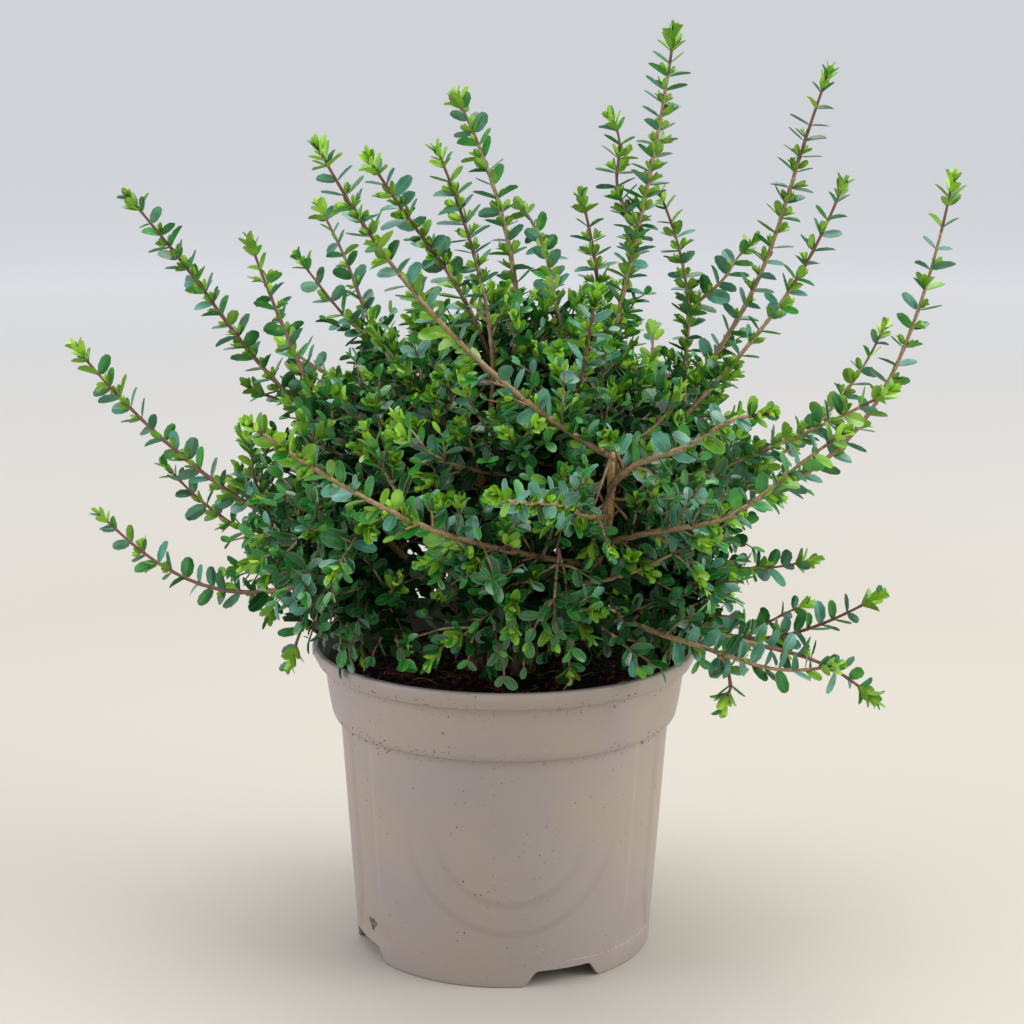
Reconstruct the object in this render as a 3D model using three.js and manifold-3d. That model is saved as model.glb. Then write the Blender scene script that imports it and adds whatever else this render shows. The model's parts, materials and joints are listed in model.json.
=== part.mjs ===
// Box honeysuckle in a 3 litre nursery pot: taupe moulded pot, dark potting compost,
// four short woody stems from one crown, eight boughs, and the foliage that they carry.
// Millimetres, +Z up. The origin is the middle of the pot's foot, on the ground.
// Bearings are degrees from +X towards +Y, so the front is at -90.

import * as THREE from 'three';
import { mergeVertices } from 'three/addons/utils/BufferGeometryUtils.js';
import Module from 'manifold-3d';

const wasm = await Module();
wasm.setup();

// Pot
const POT_HEIGHT = 152;
const RIM_RADIUS = 95;
const LIP_UNDER_RADIUS = 92;
const LIP_DEPTH = 8.5;
const LIP_WIDTH = 4;
const LIP_ROUNDING = 1.2;
const COLLAR_TOP_RADIUS = 88.5;
const COLLAR_FOOT_RADIUS = 85;
const COLLAR_DEPTH = 35.5;
const COLLAR_CHAMFER = 2.5;
const BODY_TOP_RADIUS = 81.2;
const FOOT_RADIUS = 73.5;
const FOOT_WIDTH = 3.5;
const FOOT_CHAMFER = 1;
const WALL = 1.8;
const FLOOR_UNDERSIDE = 9;
const FLOOR_TOP = 11;
const POT_SEGMENTS = 36;

// Openings in the pot's foot and floor
const NOTCH_BEARING = -66.5;
const NOTCH_HEIGHT = 8;
const NOTCH_FOOT_WIDTH = 40;
const NOTCH_TOP_WIDTH = 27;
const DRAIN_HOLES = 6;
const DRAIN_RING_RADIUS = 46;
const DRAIN_RADIUS = 5;
const DRAIN_SIDES = 8;

// Compost: flat in the middle, falling towards the wall
const COMPOST_LEVEL = 140;
const COMPOST_FLAT_RADIUS = 30;
const COMPOST_EDGE_DROP = 4;
const COMPOST_RINGS = [0.8, 0.56];
const COMPOST_LUMP = 1.5;

// Stems
const STEM_BEARING = -55;
const STEM_COUNT = 4;
const STEM_FOOT_RING = 15;
const STEM_UPRIGHT = 8;
const STEM_TOP_RING = 27;
const STEM_TOP_HEIGHT = 186;
const STEM_RADIUS = 4.4;
const STEM_TOP_RADIUS = 3.2;
const ROOT_FLARE = 2.6;
const FLARE_SHARE = 0.14;

// Boughs: where on its stem each leaves, how far its tip is turned from the stem's bearing,
// how far out and how high the tip is, and how far the bough is bowed both out and down
const BOUGH_RADIUS = 2.9;
const BOUGH_TIP_RADIUS = 2;
const LOW_BOUGH = { leaves: 0.8, turn: -2, reach: 76, height: 226, bow: 4 };
const FRONT_BOUGH = { leaves: 0.8, turn: -3, reach: 91, height: 262, bow: 14 };
const HIGH_BOUGH = { leaves: 0.97, turn: 43, reach: 38, height: 262, bow: 2 };

// How far wood strays from its line, and a limb's end from its set height
const CROOK = 2;
const HEIGHT_SPREAD = 4;

// Long leafy shoots. Each tip is set by its bearing, its rise above level and its reach
// from the middle of the crown, and the middle of the shoot sags below the straight line.
// Each leaves a bough at the share of the bough's length that is nearest the one given.
const CROWN_HEIGHT = 200;
const FRONT_REACH = 223;
const FRONT_RISE = 18;
const SHOOT_RADIUS = 1.9;
const SHOOT_TIP_RADIUS = 0.9;
const SHOWN_SHOOTS = [
  { bearing: 11, rise: 73, reach: 261, sag: 6, bough: 'high_1', share: 0.38 },
  { bearing: 31, rise: 63, reach: 194, sag: 38, bough: 'low_2', share: 0.38 },
  { bearing: 7, rise: 56, reach: 279, sag: 12, bough: 'low_2', share: 0.74 },
  { bearing: 0, rise: 48, reach: 242, sag: 18, bough: 'high_1', share: 0.5 },
  { bearing: 0, rise: 39, reach: 283, sag: 58, bough: 'low_2', share: 0.26 },
  { bearing: 20, rise: 26, reach: 232, sag: 26, bough: 'low_2', share: 0.86 },
  { bearing: -19, rise: 25, reach: 209, sag: 4, bough: 'low_2', share: 0.5 },
  { bearing: -46, rise: 22, reach: 224, sag: 10, bough: 'low_1', share: 0.62 },
  { bearing: -58, rise: 25, reach: 227, sag: -4, bough: 'low_1', share: 0.86 },
  { bearing: -6, rise: -6, reach: 187, sag: 36, bough: 'low_2', share: 0.62 },
  { bearing: -41, rise: -7, reach: 198, sag: 14, bough: 'low_1', share: 0.38 },
  { bearing: -19, rise: -18, reach: 196, sag: -8, bough: 'low_1', share: 0.26 },
  { bearing: 107, rise: 67, reach: 236, sag: -18, bough: 'high_2', share: 0.98 },
  { bearing: -142, rise: 78, reach: 200, sag: -18, bough: 'high_4', share: 0.26 },
  { bearing: -145, rise: 68, reach: 207, sag: -8, bough: 'high_2', share: 0.86 },
  { bearing: -125, rise: 55, reach: 245, sag: 14, bough: 'low_1', share: 0.98 },
  { bearing: 131, rise: 46, reach: 220, sag: 0, bough: 'high_3', share: 0.62 },
  { bearing: 161, rise: 47, reach: 201, sag: 4, bough: 'low_4', share: 0.98 },
  { bearing: 178, rise: 43, reach: 251, sag: 8, bough: 'low_3', share: 0.5 },
  { bearing: 171, rise: 23, reach: 238, sag: 20, bough: 'low_4', share: 0.26 },
  { bearing: -121, rise: 24, reach: 225, sag: 12, bough: 'low_1', share: 0.5 },
  { bearing: 174, rise: 3, reach: 207, sag: 36, bough: 'low_4', share: 0.86 },
  { bearing: 159, rise: 8, reach: 194, sag: 36, bough: 'low_3', share: 0.86 },
  { bearing: 180, rise: -30, reach: 126, sag: -12, bough: 'low_4', share: 0.74 },
  { bearing: 85, rise: 65, reach: 179, sag: -20, bough: 'high_1', share: 0.98 },
  { bearing: 53, rise: 70, reach: 181, sag: -4, bough: 'low_2', share: 0.98 },
  { bearing: -66, rise: 54, reach: 169, sag: 0, bough: 'high_1', share: 0.74 },
  { bearing: -91, rise: FRONT_RISE, reach: FRONT_REACH, sag: 0, bough: 'low_1', share: 0.74 },
];

// Shoots on the far side, spread evenly over it, one low and the next high. One of them
// reaches as far back as the furthest shoot reaches forward.
const FAR_SHOOTS = 6;
const FAR_BEARINGS = [48, 132];
const FAR_RISES = [2, 24];
const FAR_REACH = 205;
const FAR_REACH_SPREAD = 10;
const FAR_SAG = 6;
const FURTHEST_SHOOT = 3;

// Dense inner foliage: rings of leafy cushions that fill the dome
const DOME = { radius: 136, height: 98, middle: 222 };
const CUSHION_RINGS = [
  { level: 'low', count: 6, bearing: -85, radius: 80, height: 193, core: [38, 24, 25] },
  { level: 'high', count: 4, bearing: -60, radius: 56, height: 250, core: [36, 22, 24] },
  { level: 'top', count: 1, bearing: 0, radius: 4, height: 286, core: [30, 30, 18] },
];
const CORE_ROUGHNESS = 0.25;
const CUSHION_TWIGS = 5;
const CUSHION_TWIG_RADIUS = 1.6;
const CUSHION_TWIG_SPREAD = 66;
const CUSHION_TWIG_SAG = 3;
const CUSHION_FOCUS_HEIGHT = 192;
const CUSHION_SKIN = [0.88, 1.02];

// Leaves stand in opposite pairs. Sizes are for a leaf halfway along a shoot.
const LEAF_LENGTH = 20;
const LEAF_WIDTH = 11;
const LEAF_THICKNESS = 1.2;
const LEAF_WIDEST = 0.55;
const LEAF_LEAN = 52;
const LEAF_LEAN_SPREAD = 8;
const LEAF_SIZES = [0.85, 1.05];
const TIP_LEAF = 0.62;
const PAIR_TURN_SPREAD = 0.3;
const SHOOT_LEAVES = { spacing: 28, size: 1 };
const CUSHION_LEAVES = { from: 0.5, spacing: 22, size: 1.3 };

// Shoots carry leaves from where they come out of the inner part of the dome.
const LEAFY_LEVEL = 0.8;

// Clearance between neighbouring solids, and the seed of the plant's irregularity
const GAP = 0.3;
const SEED = 20;

const UP = new THREE.Vector3(0, 0, 1);
const CROWN_MIDDLE = new THREE.Vector3(0, 0, CROWN_HEIGHT);

function seededRandom(seed) {
  let state = seed >>> 0;
  return () => {
    state = (state + 0x6d2b79f5) >>> 0;
    let mixed = Math.imul(state ^ (state >>> 15), state | 1);
    mixed ^= mixed + Math.imul(mixed ^ (mixed >>> 7), mixed | 61);
    return ((mixed ^ (mixed >>> 14)) >>> 0) / 4294967296;
  };
}

const random = seededRandom(SEED);
const between = (low, high) => low + (high - low) * random();
const spread = (amount) => between(-amount, amount);
const degrees = THREE.MathUtils.degToRad;

function polar(bearing, radius, height) {
  const angle = degrees(bearing);
  return new THREE.Vector3(radius * Math.cos(angle), radius * Math.sin(angle), height);
}

function heading(bearing, rise) {
  return polar(bearing, Math.cos(degrees(rise)), Math.sin(degrees(rise)));
}

// Closed geometry to solid and back

function mergedCorners(geometry) {
  geometry.deleteAttribute('normal');
  geometry.deleteAttribute('uv');
  return mergeVertices(geometry, 1e-5);
}

function toSolid(geometry) {
  const merged = mergedCorners(geometry);
  return new wasm.Manifold(new wasm.Mesh({
    numProp: 3,
    vertProperties: Float32Array.from(merged.attributes.position.array),
    triVerts: Uint32Array.from(merged.index.array),
  }));
}

function toGeometry(solid) {
  const mesh = solid.getMesh();
  const geometry = new THREE.BufferGeometry();
  geometry.setAttribute('position', new THREE.BufferAttribute(mesh.vertProperties, 3));
  geometry.setIndex(new THREE.BufferAttribute(mesh.triVerts, 1));
  geometry.computeVertexNormals();
  return geometry;
}

const fuse = (solids) => wasm.Manifold.union(solids);

function largestPart(solid) {
  return solid.decompose().reduce((best, part) => (part.volume() > best.volume() ? part : best));
}

function boxesMeet(a, b) {
  const first = a.boundingBox();
  const second = b.boundingBox();
  return [0, 1, 2].every((i) => first.min[i] < second.max[i] && second.min[i] < first.max[i]);
}

const touches = (a, b) => boxesMeet(a, b) && !a.intersect(b).isEmpty();
const isFree = (solid, others) => !others.some((other) => touches(solid, other));

// A limb is a prism of a few sides, bent along a smooth curve and tapered towards its tip.

function roundSection(sides) {
  const corner = (k) => {
    const angle = (2 * Math.PI * k) / sides;
    return new THREE.Vector2(Math.cos(angle), Math.sin(angle));
  };
  return new THREE.Shape(Array.from({ length: sides }, (_, k) => corner(k)));
}

class Limb {
  constructor(curve, { radius, tipRadius, sides, rings, flare = 0 }) {
    Object.assign(this, { curve, radius, tipRadius, sides, rings, flare });
  }

  radiusAt(share) {
    const taper = THREE.MathUtils.lerp(this.radius, this.tipRadius, share);
    return taper + this.flare * Math.exp(-share / FLARE_SHARE);
  }

  // With a swell the limb grows by that much all round and at both ends.
  solid(swell = 0) {
    const rod = new THREE.ExtrudeGeometry(roundSection(this.sides), {
      depth: 1, steps: this.rings, bevelEnabled: false,
    });
    const frames = this.curve.computeFrenetFrames(this.rings);
    const skin = swell / Math.cos(Math.PI / this.sides);
    const position = rod.attributes.position;
    const point = new THREE.Vector3();
    for (let i = 0; i < position.count; i += 1) {
      const share = position.getZ(i);
      const ring = Math.round(share * this.rings);
      const radius = this.radiusAt(share) + skin;
      const ending = Number(ring === this.rings) - Number(ring === 0);
      this.curve.getPointAt(share, point);
      point.addScaledVector(frames.normals[ring], position.getX(i) * radius);
      point.addScaledVector(frames.binormals[ring], position.getY(i) * radius);
      point.addScaledVector(frames.tangents[ring], ending * swell);
      position.setXYZ(i, point.x, point.y, point.z);
    }
    return toSolid(rod);
  }
}

// A leaf is flat underneath and has a low ridge on top: root, tip, two edges and ridge are
// its five corners. With a swell it grows by that much all round.

function leafSolid({ root, along, across, size }, swell = 0) {
  const length = LEAF_LENGTH * size;
  const edge = (LEAF_WIDTH * size) / 2 + swell;
  const widest = LEAF_WIDEST * length;
  const corners = [
    [-swell, 0, -swell],
    [length + swell, 0, -swell],
    [widest, edge, -swell],
    [widest, -edge, -swell],
    [widest, 0, LEAF_THICKNESS + swell],
  ];
  const leaf = new THREE.BufferGeometry();
  leaf.setAttribute('position', new THREE.Float32BufferAttribute(corners.flat(), 3));
  leaf.setIndex([0, 2, 3, 2, 1, 3, 0, 4, 2, 2, 4, 1, 1, 4, 3, 3, 4, 0]);
  const face = new THREE.Vector3().crossVectors(along, across);
  leaf.applyMatrix4(new THREE.Matrix4().makeBasis(along, across, face).setPosition(root));
  return toSolid(leaf);
}

// Pot: moulded shell with a rolled lip, a collar, a raised floor and a notched foot

const COLLAR_FOOT = POT_HEIGHT - COLLAR_DEPTH;
const LIP_FOOT = POT_HEIGHT - LIP_DEPTH;

// The inner wall from the floor up to the lip, which the compost follows.
const POT_INSIDE = [
  [FOOT_RADIUS - WALL, FLOOR_TOP],
  [BODY_TOP_RADIUS - WALL, COLLAR_FOOT - 1],
  [COLLAR_FOOT_RADIUS - WALL, COLLAR_FOOT + COLLAR_CHAMFER + 1],
  [COLLAR_TOP_RADIUS - WALL, LIP_FOOT],
];

const POT_PROFILE = [
  [0, FLOOR_UNDERSIDE],
  [FOOT_RADIUS - FOOT_WIDTH, FLOOR_UNDERSIDE],
  [FOOT_RADIUS - FOOT_WIDTH, 0],
  [FOOT_RADIUS - FOOT_CHAMFER, 0],
  [FOOT_RADIUS, FOOT_CHAMFER],
  [BODY_TOP_RADIUS, COLLAR_FOOT],
  [COLLAR_FOOT_RADIUS - 1, COLLAR_FOOT],
  [COLLAR_FOOT_RADIUS, COLLAR_FOOT + COLLAR_CHAMFER],
  [COLLAR_TOP_RADIUS, LIP_FOOT],
  [LIP_UNDER_RADIUS, LIP_FOOT],
  [RIM_RADIUS, POT_HEIGHT - 2 * LIP_ROUNDING],
  [RIM_RADIUS - LIP_ROUNDING, POT_HEIGHT],
  [RIM_RADIUS - LIP_WIDTH + LIP_ROUNDING, POT_HEIGHT],
  [RIM_RADIUS - LIP_WIDTH, POT_HEIGHT - LIP_ROUNDING],
  ...POT_INSIDE.toReversed(),
  [0, FLOOR_TOP],
];

function lathe(profile) {
  const points = profile.map(([radius, height]) => new THREE.Vector2(radius, height));
  return new THREE.LatheGeometry(points, POT_SEGMENTS).rotateX(Math.PI / 2);
}

// One cutter runs right across the foot and makes two notches that face each other.
function notchCutter(bearing) {
  const BELOW = 1;
  const slope = (NOTCH_FOOT_WIDTH - NOTCH_TOP_WIDTH) / 2 / NOTCH_HEIGHT;
  const foot = NOTCH_FOOT_WIDTH / 2 + slope * BELOW;
  const outline = new THREE.Shape([
    new THREE.Vector2(-foot, -BELOW),
    new THREE.Vector2(foot, -BELOW),
    new THREE.Vector2(NOTCH_TOP_WIDTH / 2, NOTCH_HEIGHT),
    new THREE.Vector2(-NOTCH_TOP_WIDTH / 2, NOTCH_HEIGHT),
  ]);
  const length = 2 * RIM_RADIUS;
  const cutter = new THREE.ExtrudeGeometry(outline, { depth: length, bevelEnabled: false });
  cutter.translate(0, 0, -length / 2).rotateX(Math.PI / 2);
  return toSolid(cutter.rotateZ(degrees(bearing - 90)));
}

function drainCutter(bearing, ring) {
  const height = 4 * (FLOOR_TOP - FLOOR_UNDERSIDE);
  const hole = new THREE.CylinderGeometry(DRAIN_RADIUS, DRAIN_RADIUS, height, DRAIN_SIDES);
  const place = polar(bearing, ring, (FLOOR_TOP + FLOOR_UNDERSIDE) / 2);
  return toSolid(hole.rotateX(Math.PI / 2).translate(place.x, place.y, place.z));
}

function potSolid() {
  const cutters = [notchCutter(NOTCH_BEARING), notchCutter(NOTCH_BEARING + 90), drainCutter(0, 0)];
  for (let k = 0; k < DRAIN_HOLES; k += 1) {
    cutters.push(drainCutter(NOTCH_BEARING + (360 * k) / DRAIN_HOLES, DRAIN_RING_RADIUS));
  }
  return toSolid(lathe(POT_PROFILE)).subtract(fuse(cutters));
}

// Compost: fills the pot to just below the rim, lumpy but for the flat crown under the stems

function compostSolid() {
  const edge = COMPOST_LEVEL - COMPOST_EDGE_DROP;
  const [floor, belowCollar, aboveCollar, top] = POT_INSIDE;
  const share = (edge - aboveCollar[1]) / (top[1] - aboveCollar[1]);
  const edgeRadius = THREE.MathUtils.lerp(aboveCollar[0], top[0], share);
  const profile = [
    [0, FLOOR_TOP + GAP],
    [floor[0] - GAP, FLOOR_TOP + GAP],
    [belowCollar[0] - GAP, belowCollar[1]],
    [aboveCollar[0] - GAP, aboveCollar[1]],
    [edgeRadius - GAP, edge],
    ...COMPOST_RINGS.map((ring) => [edgeRadius * ring, COMPOST_LEVEL - COMPOST_EDGE_DROP * ring ** 2]),
    [COMPOST_FLAT_RADIUS, COMPOST_LEVEL],
    [0, COMPOST_LEVEL],
  ];
  const geometry = mergedCorners(lathe(profile));
  const position = geometry.attributes.position;
  for (let i = 0; i < position.count; i += 1) {
    const radius = Math.hypot(position.getX(i), position.getY(i));
    const inRings = radius > COMPOST_FLAT_RADIUS + 1 && radius < edgeRadius - 2;
    if (inRings && position.getZ(i) > edge) position.setZ(i, position.getZ(i) + spread(COMPOST_LUMP));
  }
  return toSolid(geometry);
}

// Stems stand on the compost and lean outwards. Boughs leave them, one low and one high each.

function strayed(point) {
  point.x += spread(CROOK);
  point.y += spread(CROOK);
  return point;
}

function makeStem(k) {
  const bearing = STEM_BEARING + (360 * k) / STEM_COUNT;
  const foot = polar(bearing, STEM_FOOT_RING, COMPOST_LEVEL + GAP);
  const upright = foot.clone().addScaledVector(UP, STEM_UPRIGHT);
  const top = polar(bearing, STEM_TOP_RING, STEM_TOP_HEIGHT + spread(HEIGHT_SPREAD));
  const knee = strayed(upright.clone().lerp(top, 0.5));
  const limb = new Limb(new THREE.CatmullRomCurve3([foot, upright, knee, top]), {
    radius: STEM_RADIUS, tipRadius: STEM_TOP_RADIUS, sides: 8, rings: 7, flare: ROOT_FLARE,
  });
  return { name: `stem_${k + 1}`, bearing, limb, solid: limb.solid() };
}

function makeBough(name, stem, { leaves, turn, reach, height, bow }, stems) {
  const from = stem.limb.curve.getPointAt(leaves);
  const to = polar(stem.bearing + turn, reach, height + spread(HEIGHT_SPREAD));
  const bowed = heading(stem.bearing + turn, 0).sub(UP).multiplyScalar(bow);
  const along = (share) => strayed(from.clone().lerp(to, share)).add(bowed);
  const curve = new THREE.CatmullRomCurve3([from, along(1 / 3), along(2 / 3), to]);
  const limb = new Limb(curve, {
    radius: BOUGH_RADIUS, tipRadius: BOUGH_TIP_RADIUS, sides: 6, rings: 6,
  });
  const swollenStems = fuse(stems.map((each) => each.limb.solid(GAP)));
  return { name, limb, solid: largestPart(limb.solid().subtract(swollenStems)) };
}

function makeBoughs(stems) {
  return stems.flatMap((stem, k) => [
    makeBough(`bough_low_${k + 1}`, stem, k === 0 ? FRONT_BOUGH : LOW_BOUGH, stems),
    makeBough(`bough_high_${k + 1}`, stem, HIGH_BOUGH, stems),
  ]);
}

// A mass of foliage springs from a bough: from its own, or else from the one that points most
// nearly its way. It leaves it at the station nearest its share, or nearest the bough's tip,
// where its stem finds room among the limbs that are there already.

const STATIONS = [0.98, 0.86, 0.74, 0.62, 0.5, 0.38, 0.26];

const FOLIAGE_STEM = {
  radius: SHOOT_RADIUS, tipRadius: SHOOT_TIP_RADIUS, sides: 3, rings: 6,
};

function saggingCurve(from, to, sag) {
  const along = to.clone().sub(from).normalize();
  const down = UP.clone().negate().addScaledVector(along, along.z).normalize();
  const elbow = from.clone().lerp(to, 0.5).addScaledVector(down, 2 * sag);
  return new THREE.QuadraticBezierCurve3(from, elbow, to);
}

function boughsTowards(target, boughs, own) {
  const outward = (point) => point.clone().sub(CROWN_MIDDLE).normalize();
  const nearness = ({ name, limb }) => (
    name === `bough_${own}` ? 1 : outward(limb.curve.getPointAt(1)).dot(outward(target))
  );
  return boughs.toSorted((a, b) => nearness(b) - nearness(a));
}

function springFrom(boughs, to, { sag = 0, share = 1 }, taken) {
  const distance = (station) => Math.abs(station - share);
  const stations = STATIONS.toSorted((a, b) => distance(a) - distance(b));
  for (const bough of boughs) {
    for (const station of stations) {
      const from = bough.limb.curve.getPointAt(station);
      const limb = new Limb(saggingCurve(from, to, sag), FOLIAGE_STEM);
      const solid = largestPart(limb.solid().subtract(bough.limb.solid(GAP)));
      const others = taken.filter((other) => other.owner !== bough);
      if (isFree(solid, others.map((other) => other.swollen))) return { limb, solid };
    }
  }
  throw new Error('no free place on any bough');
}

// Pairs of leaves stand opposite each other, and each pair is a quarter turn on from the last.

function leafPair(twig, share, turn, lean, size) {
  const root = twig.curve.getPointAt(share);
  const tangent = twig.curve.getTangentAt(share);
  const level = new THREE.Vector3().crossVectors(tangent, UP).normalize();
  const rise = new THREE.Vector3().crossVectors(level, tangent);
  return [0, Math.PI].map((opposite) => {
    const outward = level.clone().multiplyScalar(Math.cos(turn + opposite));
    outward.addScaledVector(rise, Math.sin(turn + opposite));
    const along = tangent.clone().multiplyScalar(Math.cos(lean));
    along.addScaledVector(outward, Math.sin(lean)).normalize();
    const across = new THREE.Vector3().crossVectors(tangent, outward).normalize();
    return { root, along, across, size };
  });
}

function leafPairs(twig, { from, spacing, size }) {
  const LAST_PAIR = 0.99;
  const count = Math.max(1, Math.floor((twig.curve.getLength() * (1 - from)) / spacing));
  let turn = between(0, Math.PI);
  return Array.from({ length: count + 1 }, (_, k) => {
    const atTip = k === count;
    const lean = atTip ? LEAF_LEAN / 2 : LEAF_LEAN + spread(LEAF_LEAN_SPREAD);
    const scale = size * (atTip ? TIP_LEAF : between(...LEAF_SIZES));
    turn += Math.PI / 2 + spread(PAIR_TURN_SPREAD);
    const share = THREE.MathUtils.lerp(from, LAST_PAIR, k / count);
    return leafPair(twig, share, turn, degrees(lean), scale);
  }).flat();
}

// How far out of the dome a point lies: 1 on the dome's skin.
function domeLevel(point) {
  const flat = Math.hypot(point.x, point.y) / DOME.radius;
  return Math.hypot(flat, (point.z - DOME.middle) / DOME.height);
}

function shareAtLevel(curve, level) {
  const STEP = 0.02;
  let share = 0;
  while (share < 1 - STEP && domeLevel(curve.getPointAt(share)) < level) share += STEP;
  return share;
}

// The last pair of leaves reaches past the end of the shoot's stem to the tip.
function makeShoot(name, row, boughs, taken) {
  const bud = LEAF_LENGTH * TIP_LEAF * Math.cos(degrees(LEAF_LEAN / 2));
  const tip = CROWN_MIDDLE.clone().addScaledVector(heading(row.bearing, row.rise), row.reach - bud);
  const stem = springFrom(boughsTowards(tip, boughs, row.bough), tip, row, taken);
  return { name, ...stem, leafFrom: shareAtLevel(stem.limb.curve, LEAFY_LEVEL) };
}

function farShootRow(k) {
  const furthest = k === FURTHEST_SHOOT;
  return {
    bearing: THREE.MathUtils.lerp(...FAR_BEARINGS, k / (FAR_SHOOTS - 1)),
    rise: furthest ? FRONT_RISE : FAR_RISES[k % 2],
    reach: furthest ? FRONT_REACH : FAR_REACH + spread(FAR_REACH_SPREAD),
    sag: FAR_SAG,
  };
}

// A cushion has a rough core, and twigs that stand out of it to the skin of the dome.

function coreSolid(middle, bearing, [along, across, height]) {
  const core = mergedCorners(new THREE.IcosahedronGeometry(1, 1));
  const position = core.attributes.position;
  for (let i = 0; i < position.count; i += 1) {
    const swell = 1 + spread(CORE_ROUGHNESS);
    const x = position.getX(i) * across * swell;
    const y = position.getY(i) * along * swell;
    position.setXYZ(i, x, y, position.getZ(i) * height * swell);
  }
  return toSolid(core.rotateZ(degrees(bearing)).translate(middle.x, middle.y, middle.z));
}

function makeCushion(name, ring, k, boughs, taken) {
  const bearing = ring.bearing + (360 * k) / ring.count;
  const middle = polar(bearing, ring.radius, ring.height + spread(HEIGHT_SPREAD));
  const stem = springFrom(boughsTowards(middle, boughs), middle, {}, taken);
  return { name, ...stem, middle, core: coreSolid(middle, bearing, ring.core) };
}

// Twigs fan out from the middle of the core, each a golden turn on from the last.
function cushionTwig(middle, k) {
  const GOLDEN_TURN = 137.5;
  const STEP = 2;
  const outward = middle.clone().setZ(middle.z - CUSHION_FOCUS_HEIGHT).normalize();
  const side = new THREE.Vector3().crossVectors(outward, UP).normalize();
  const top = new THREE.Vector3().crossVectors(side, outward);
  const fan = degrees(CUSHION_TWIG_SPREAD) * Math.sqrt((k + 0.5) / CUSHION_TWIGS);
  const turn = degrees(GOLDEN_TURN * k);
  const along = outward.multiplyScalar(Math.cos(fan));
  along.addScaledVector(side, Math.sin(fan) * Math.cos(turn));
  along.addScaledVector(top, Math.sin(fan) * Math.sin(turn)).normalize();
  const skin = between(...CUSHION_SKIN);
  const tip = middle.clone();
  while (domeLevel(tip) < skin) tip.addScaledVector(along, STEP);
  return new Limb(saggingCurve(middle.clone(), tip, spread(CUSHION_TWIG_SAG)), {
    radius: CUSHION_TWIG_RADIUS, tipRadius: SHOOT_TIP_RADIUS, sides: 3, rings: 2,
  });
}

// Cores are cut clear of every limb but their own, and of the cores already cut.
function cutCores(cushions, taken) {
  const finished = [];
  cushions.forEach((cushion) => {
    const others = taken.filter((other) => other.owner !== cushion).map((other) => other.swollen);
    cushion.core = largestPart(cushion.core.subtract(fuse([...others, ...finished])));
    finished.push(cushion.core);
  });
}

// Growth: a twig or a leaf that would touch a limb or another mass is skipped.

function growCushion({ solid, core, middle }, rivals) {
  const twigs = Array.from({ length: CUSHION_TWIGS }, (_, k) => cushionTwig(middle, k));
  const free = twigs.filter((twig) => isFree(twig.solid(GAP), rivals));
  const leaves = free.flatMap((twig) => leafPairs(twig, CUSHION_LEAVES));
  return withLeaves([solid, core, ...free.map((twig) => twig.solid())], leaves, rivals);
}

function growShoot({ solid, limb, leafFrom }, rivals) {
  return withLeaves([solid], leafPairs(limb, { ...SHOOT_LEAVES, from: leafFrom }), rivals);
}

function withLeaves(wood, leaves, rivals) {
  const free = leaves.filter((leaf) => isFree(leafSolid(leaf, GAP), rivals));
  return largestPart(fuse([...wood, ...free.map((leaf) => leafSolid(leaf))]));
}

// The whole plant: wood first, then the stem of every mass, then cores, twigs and leaves

function growPlant(pot, compost) {
  const stems = Array.from({ length: STEM_COUNT }, (_, k) => makeStem(k));
  const boughs = makeBoughs(stems);
  const woody = [...stems, ...boughs];
  const taken = [];
  const claim = (owner) => {
    taken.push({ owner, swollen: owner.limb.solid(GAP) });
    return owner;
  };
  woody.forEach(claim);

  const rows = [...SHOWN_SHOOTS, ...Array.from({ length: FAR_SHOOTS }, (_, k) => farShootRow(k))];
  const shoots = rows.map((row, k) => {
    const number = String(k + 1).padStart(2, '0');
    return claim(makeShoot(`shoot_${number}`, row, boughs, taken));
  });
  const cushions = CUSHION_RINGS.flatMap((ring) => Array.from({ length: ring.count }, (_, k) => (
    claim(makeCushion(`foliage_${ring.level}_${k + 1}`, ring, k, boughs, taken))
  )));
  cutCores(cushions, taken);

  const masses = [...shoots, ...cushions];
  const fixed = [pot, compost, ...woody.map((each) => each.solid)];
  masses.forEach((mass) => {
    const others = masses.filter((other) => other !== mass);
    const rivals = [...fixed, ...others.flatMap((other) => [other.solid, other.core ?? []].flat())];
    mass.solid = mass.core ? growCushion(mass, rivals) : growShoot(mass, rivals);
    delete mass.core;
  });
  return { woody, masses };
}

// Colours and finishes

const FINISHES = {
  pot: { color: 0xa4988e, roughness: 0.5 },
  compost: { color: 0x1e1512, roughness: 0.95 },
  bark: { color: 0x8a6a48, roughness: 0.85 },
  leaf: { color: 0x356b35, roughness: 0.5 },
};

function addMesh(group, name, solid, finish) {
  const material = new THREE.MeshStandardMaterial({
    ...FINISHES[finish], metalness: 0, flatShading: true,
  });
  const mesh = new THREE.Mesh(toGeometry(solid), material);
  mesh.name = name;
  group.add(mesh);
}

function buildPlant() {
  const group = new THREE.Group();
  const pot = potSolid();
  const compost = compostSolid();
  const { woody, masses } = growPlant(pot, compost);
  addMesh(group, 'pot', pot, 'pot');
  addMesh(group, 'compost', compost, 'compost');
  woody.forEach(({ name, solid }) => addMesh(group, name, solid, 'bark'));
  masses.forEach(({ name, solid }) => addMesh(group, name, solid, 'leaf'));
  return group;
}

export default buildPlant();
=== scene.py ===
"""A box honeysuckle in its nursery pot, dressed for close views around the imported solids.

Sizes are millimetres with +Z up, and the origin is the middle of the pot's foot. Bearings are
degrees from +X towards +Y, so the front is at -90. MeshDraft.make turns lengths into metres.
"""

import json
import logging
import math
from collections.abc import Callable, Iterable
from dataclasses import dataclass, field, fields
from enum import Enum
from functools import cached_property
from typing import Any

import bpy
import numpy as np
from mathutils import Matrix, Vector
from numpy.linalg import norm

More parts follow.
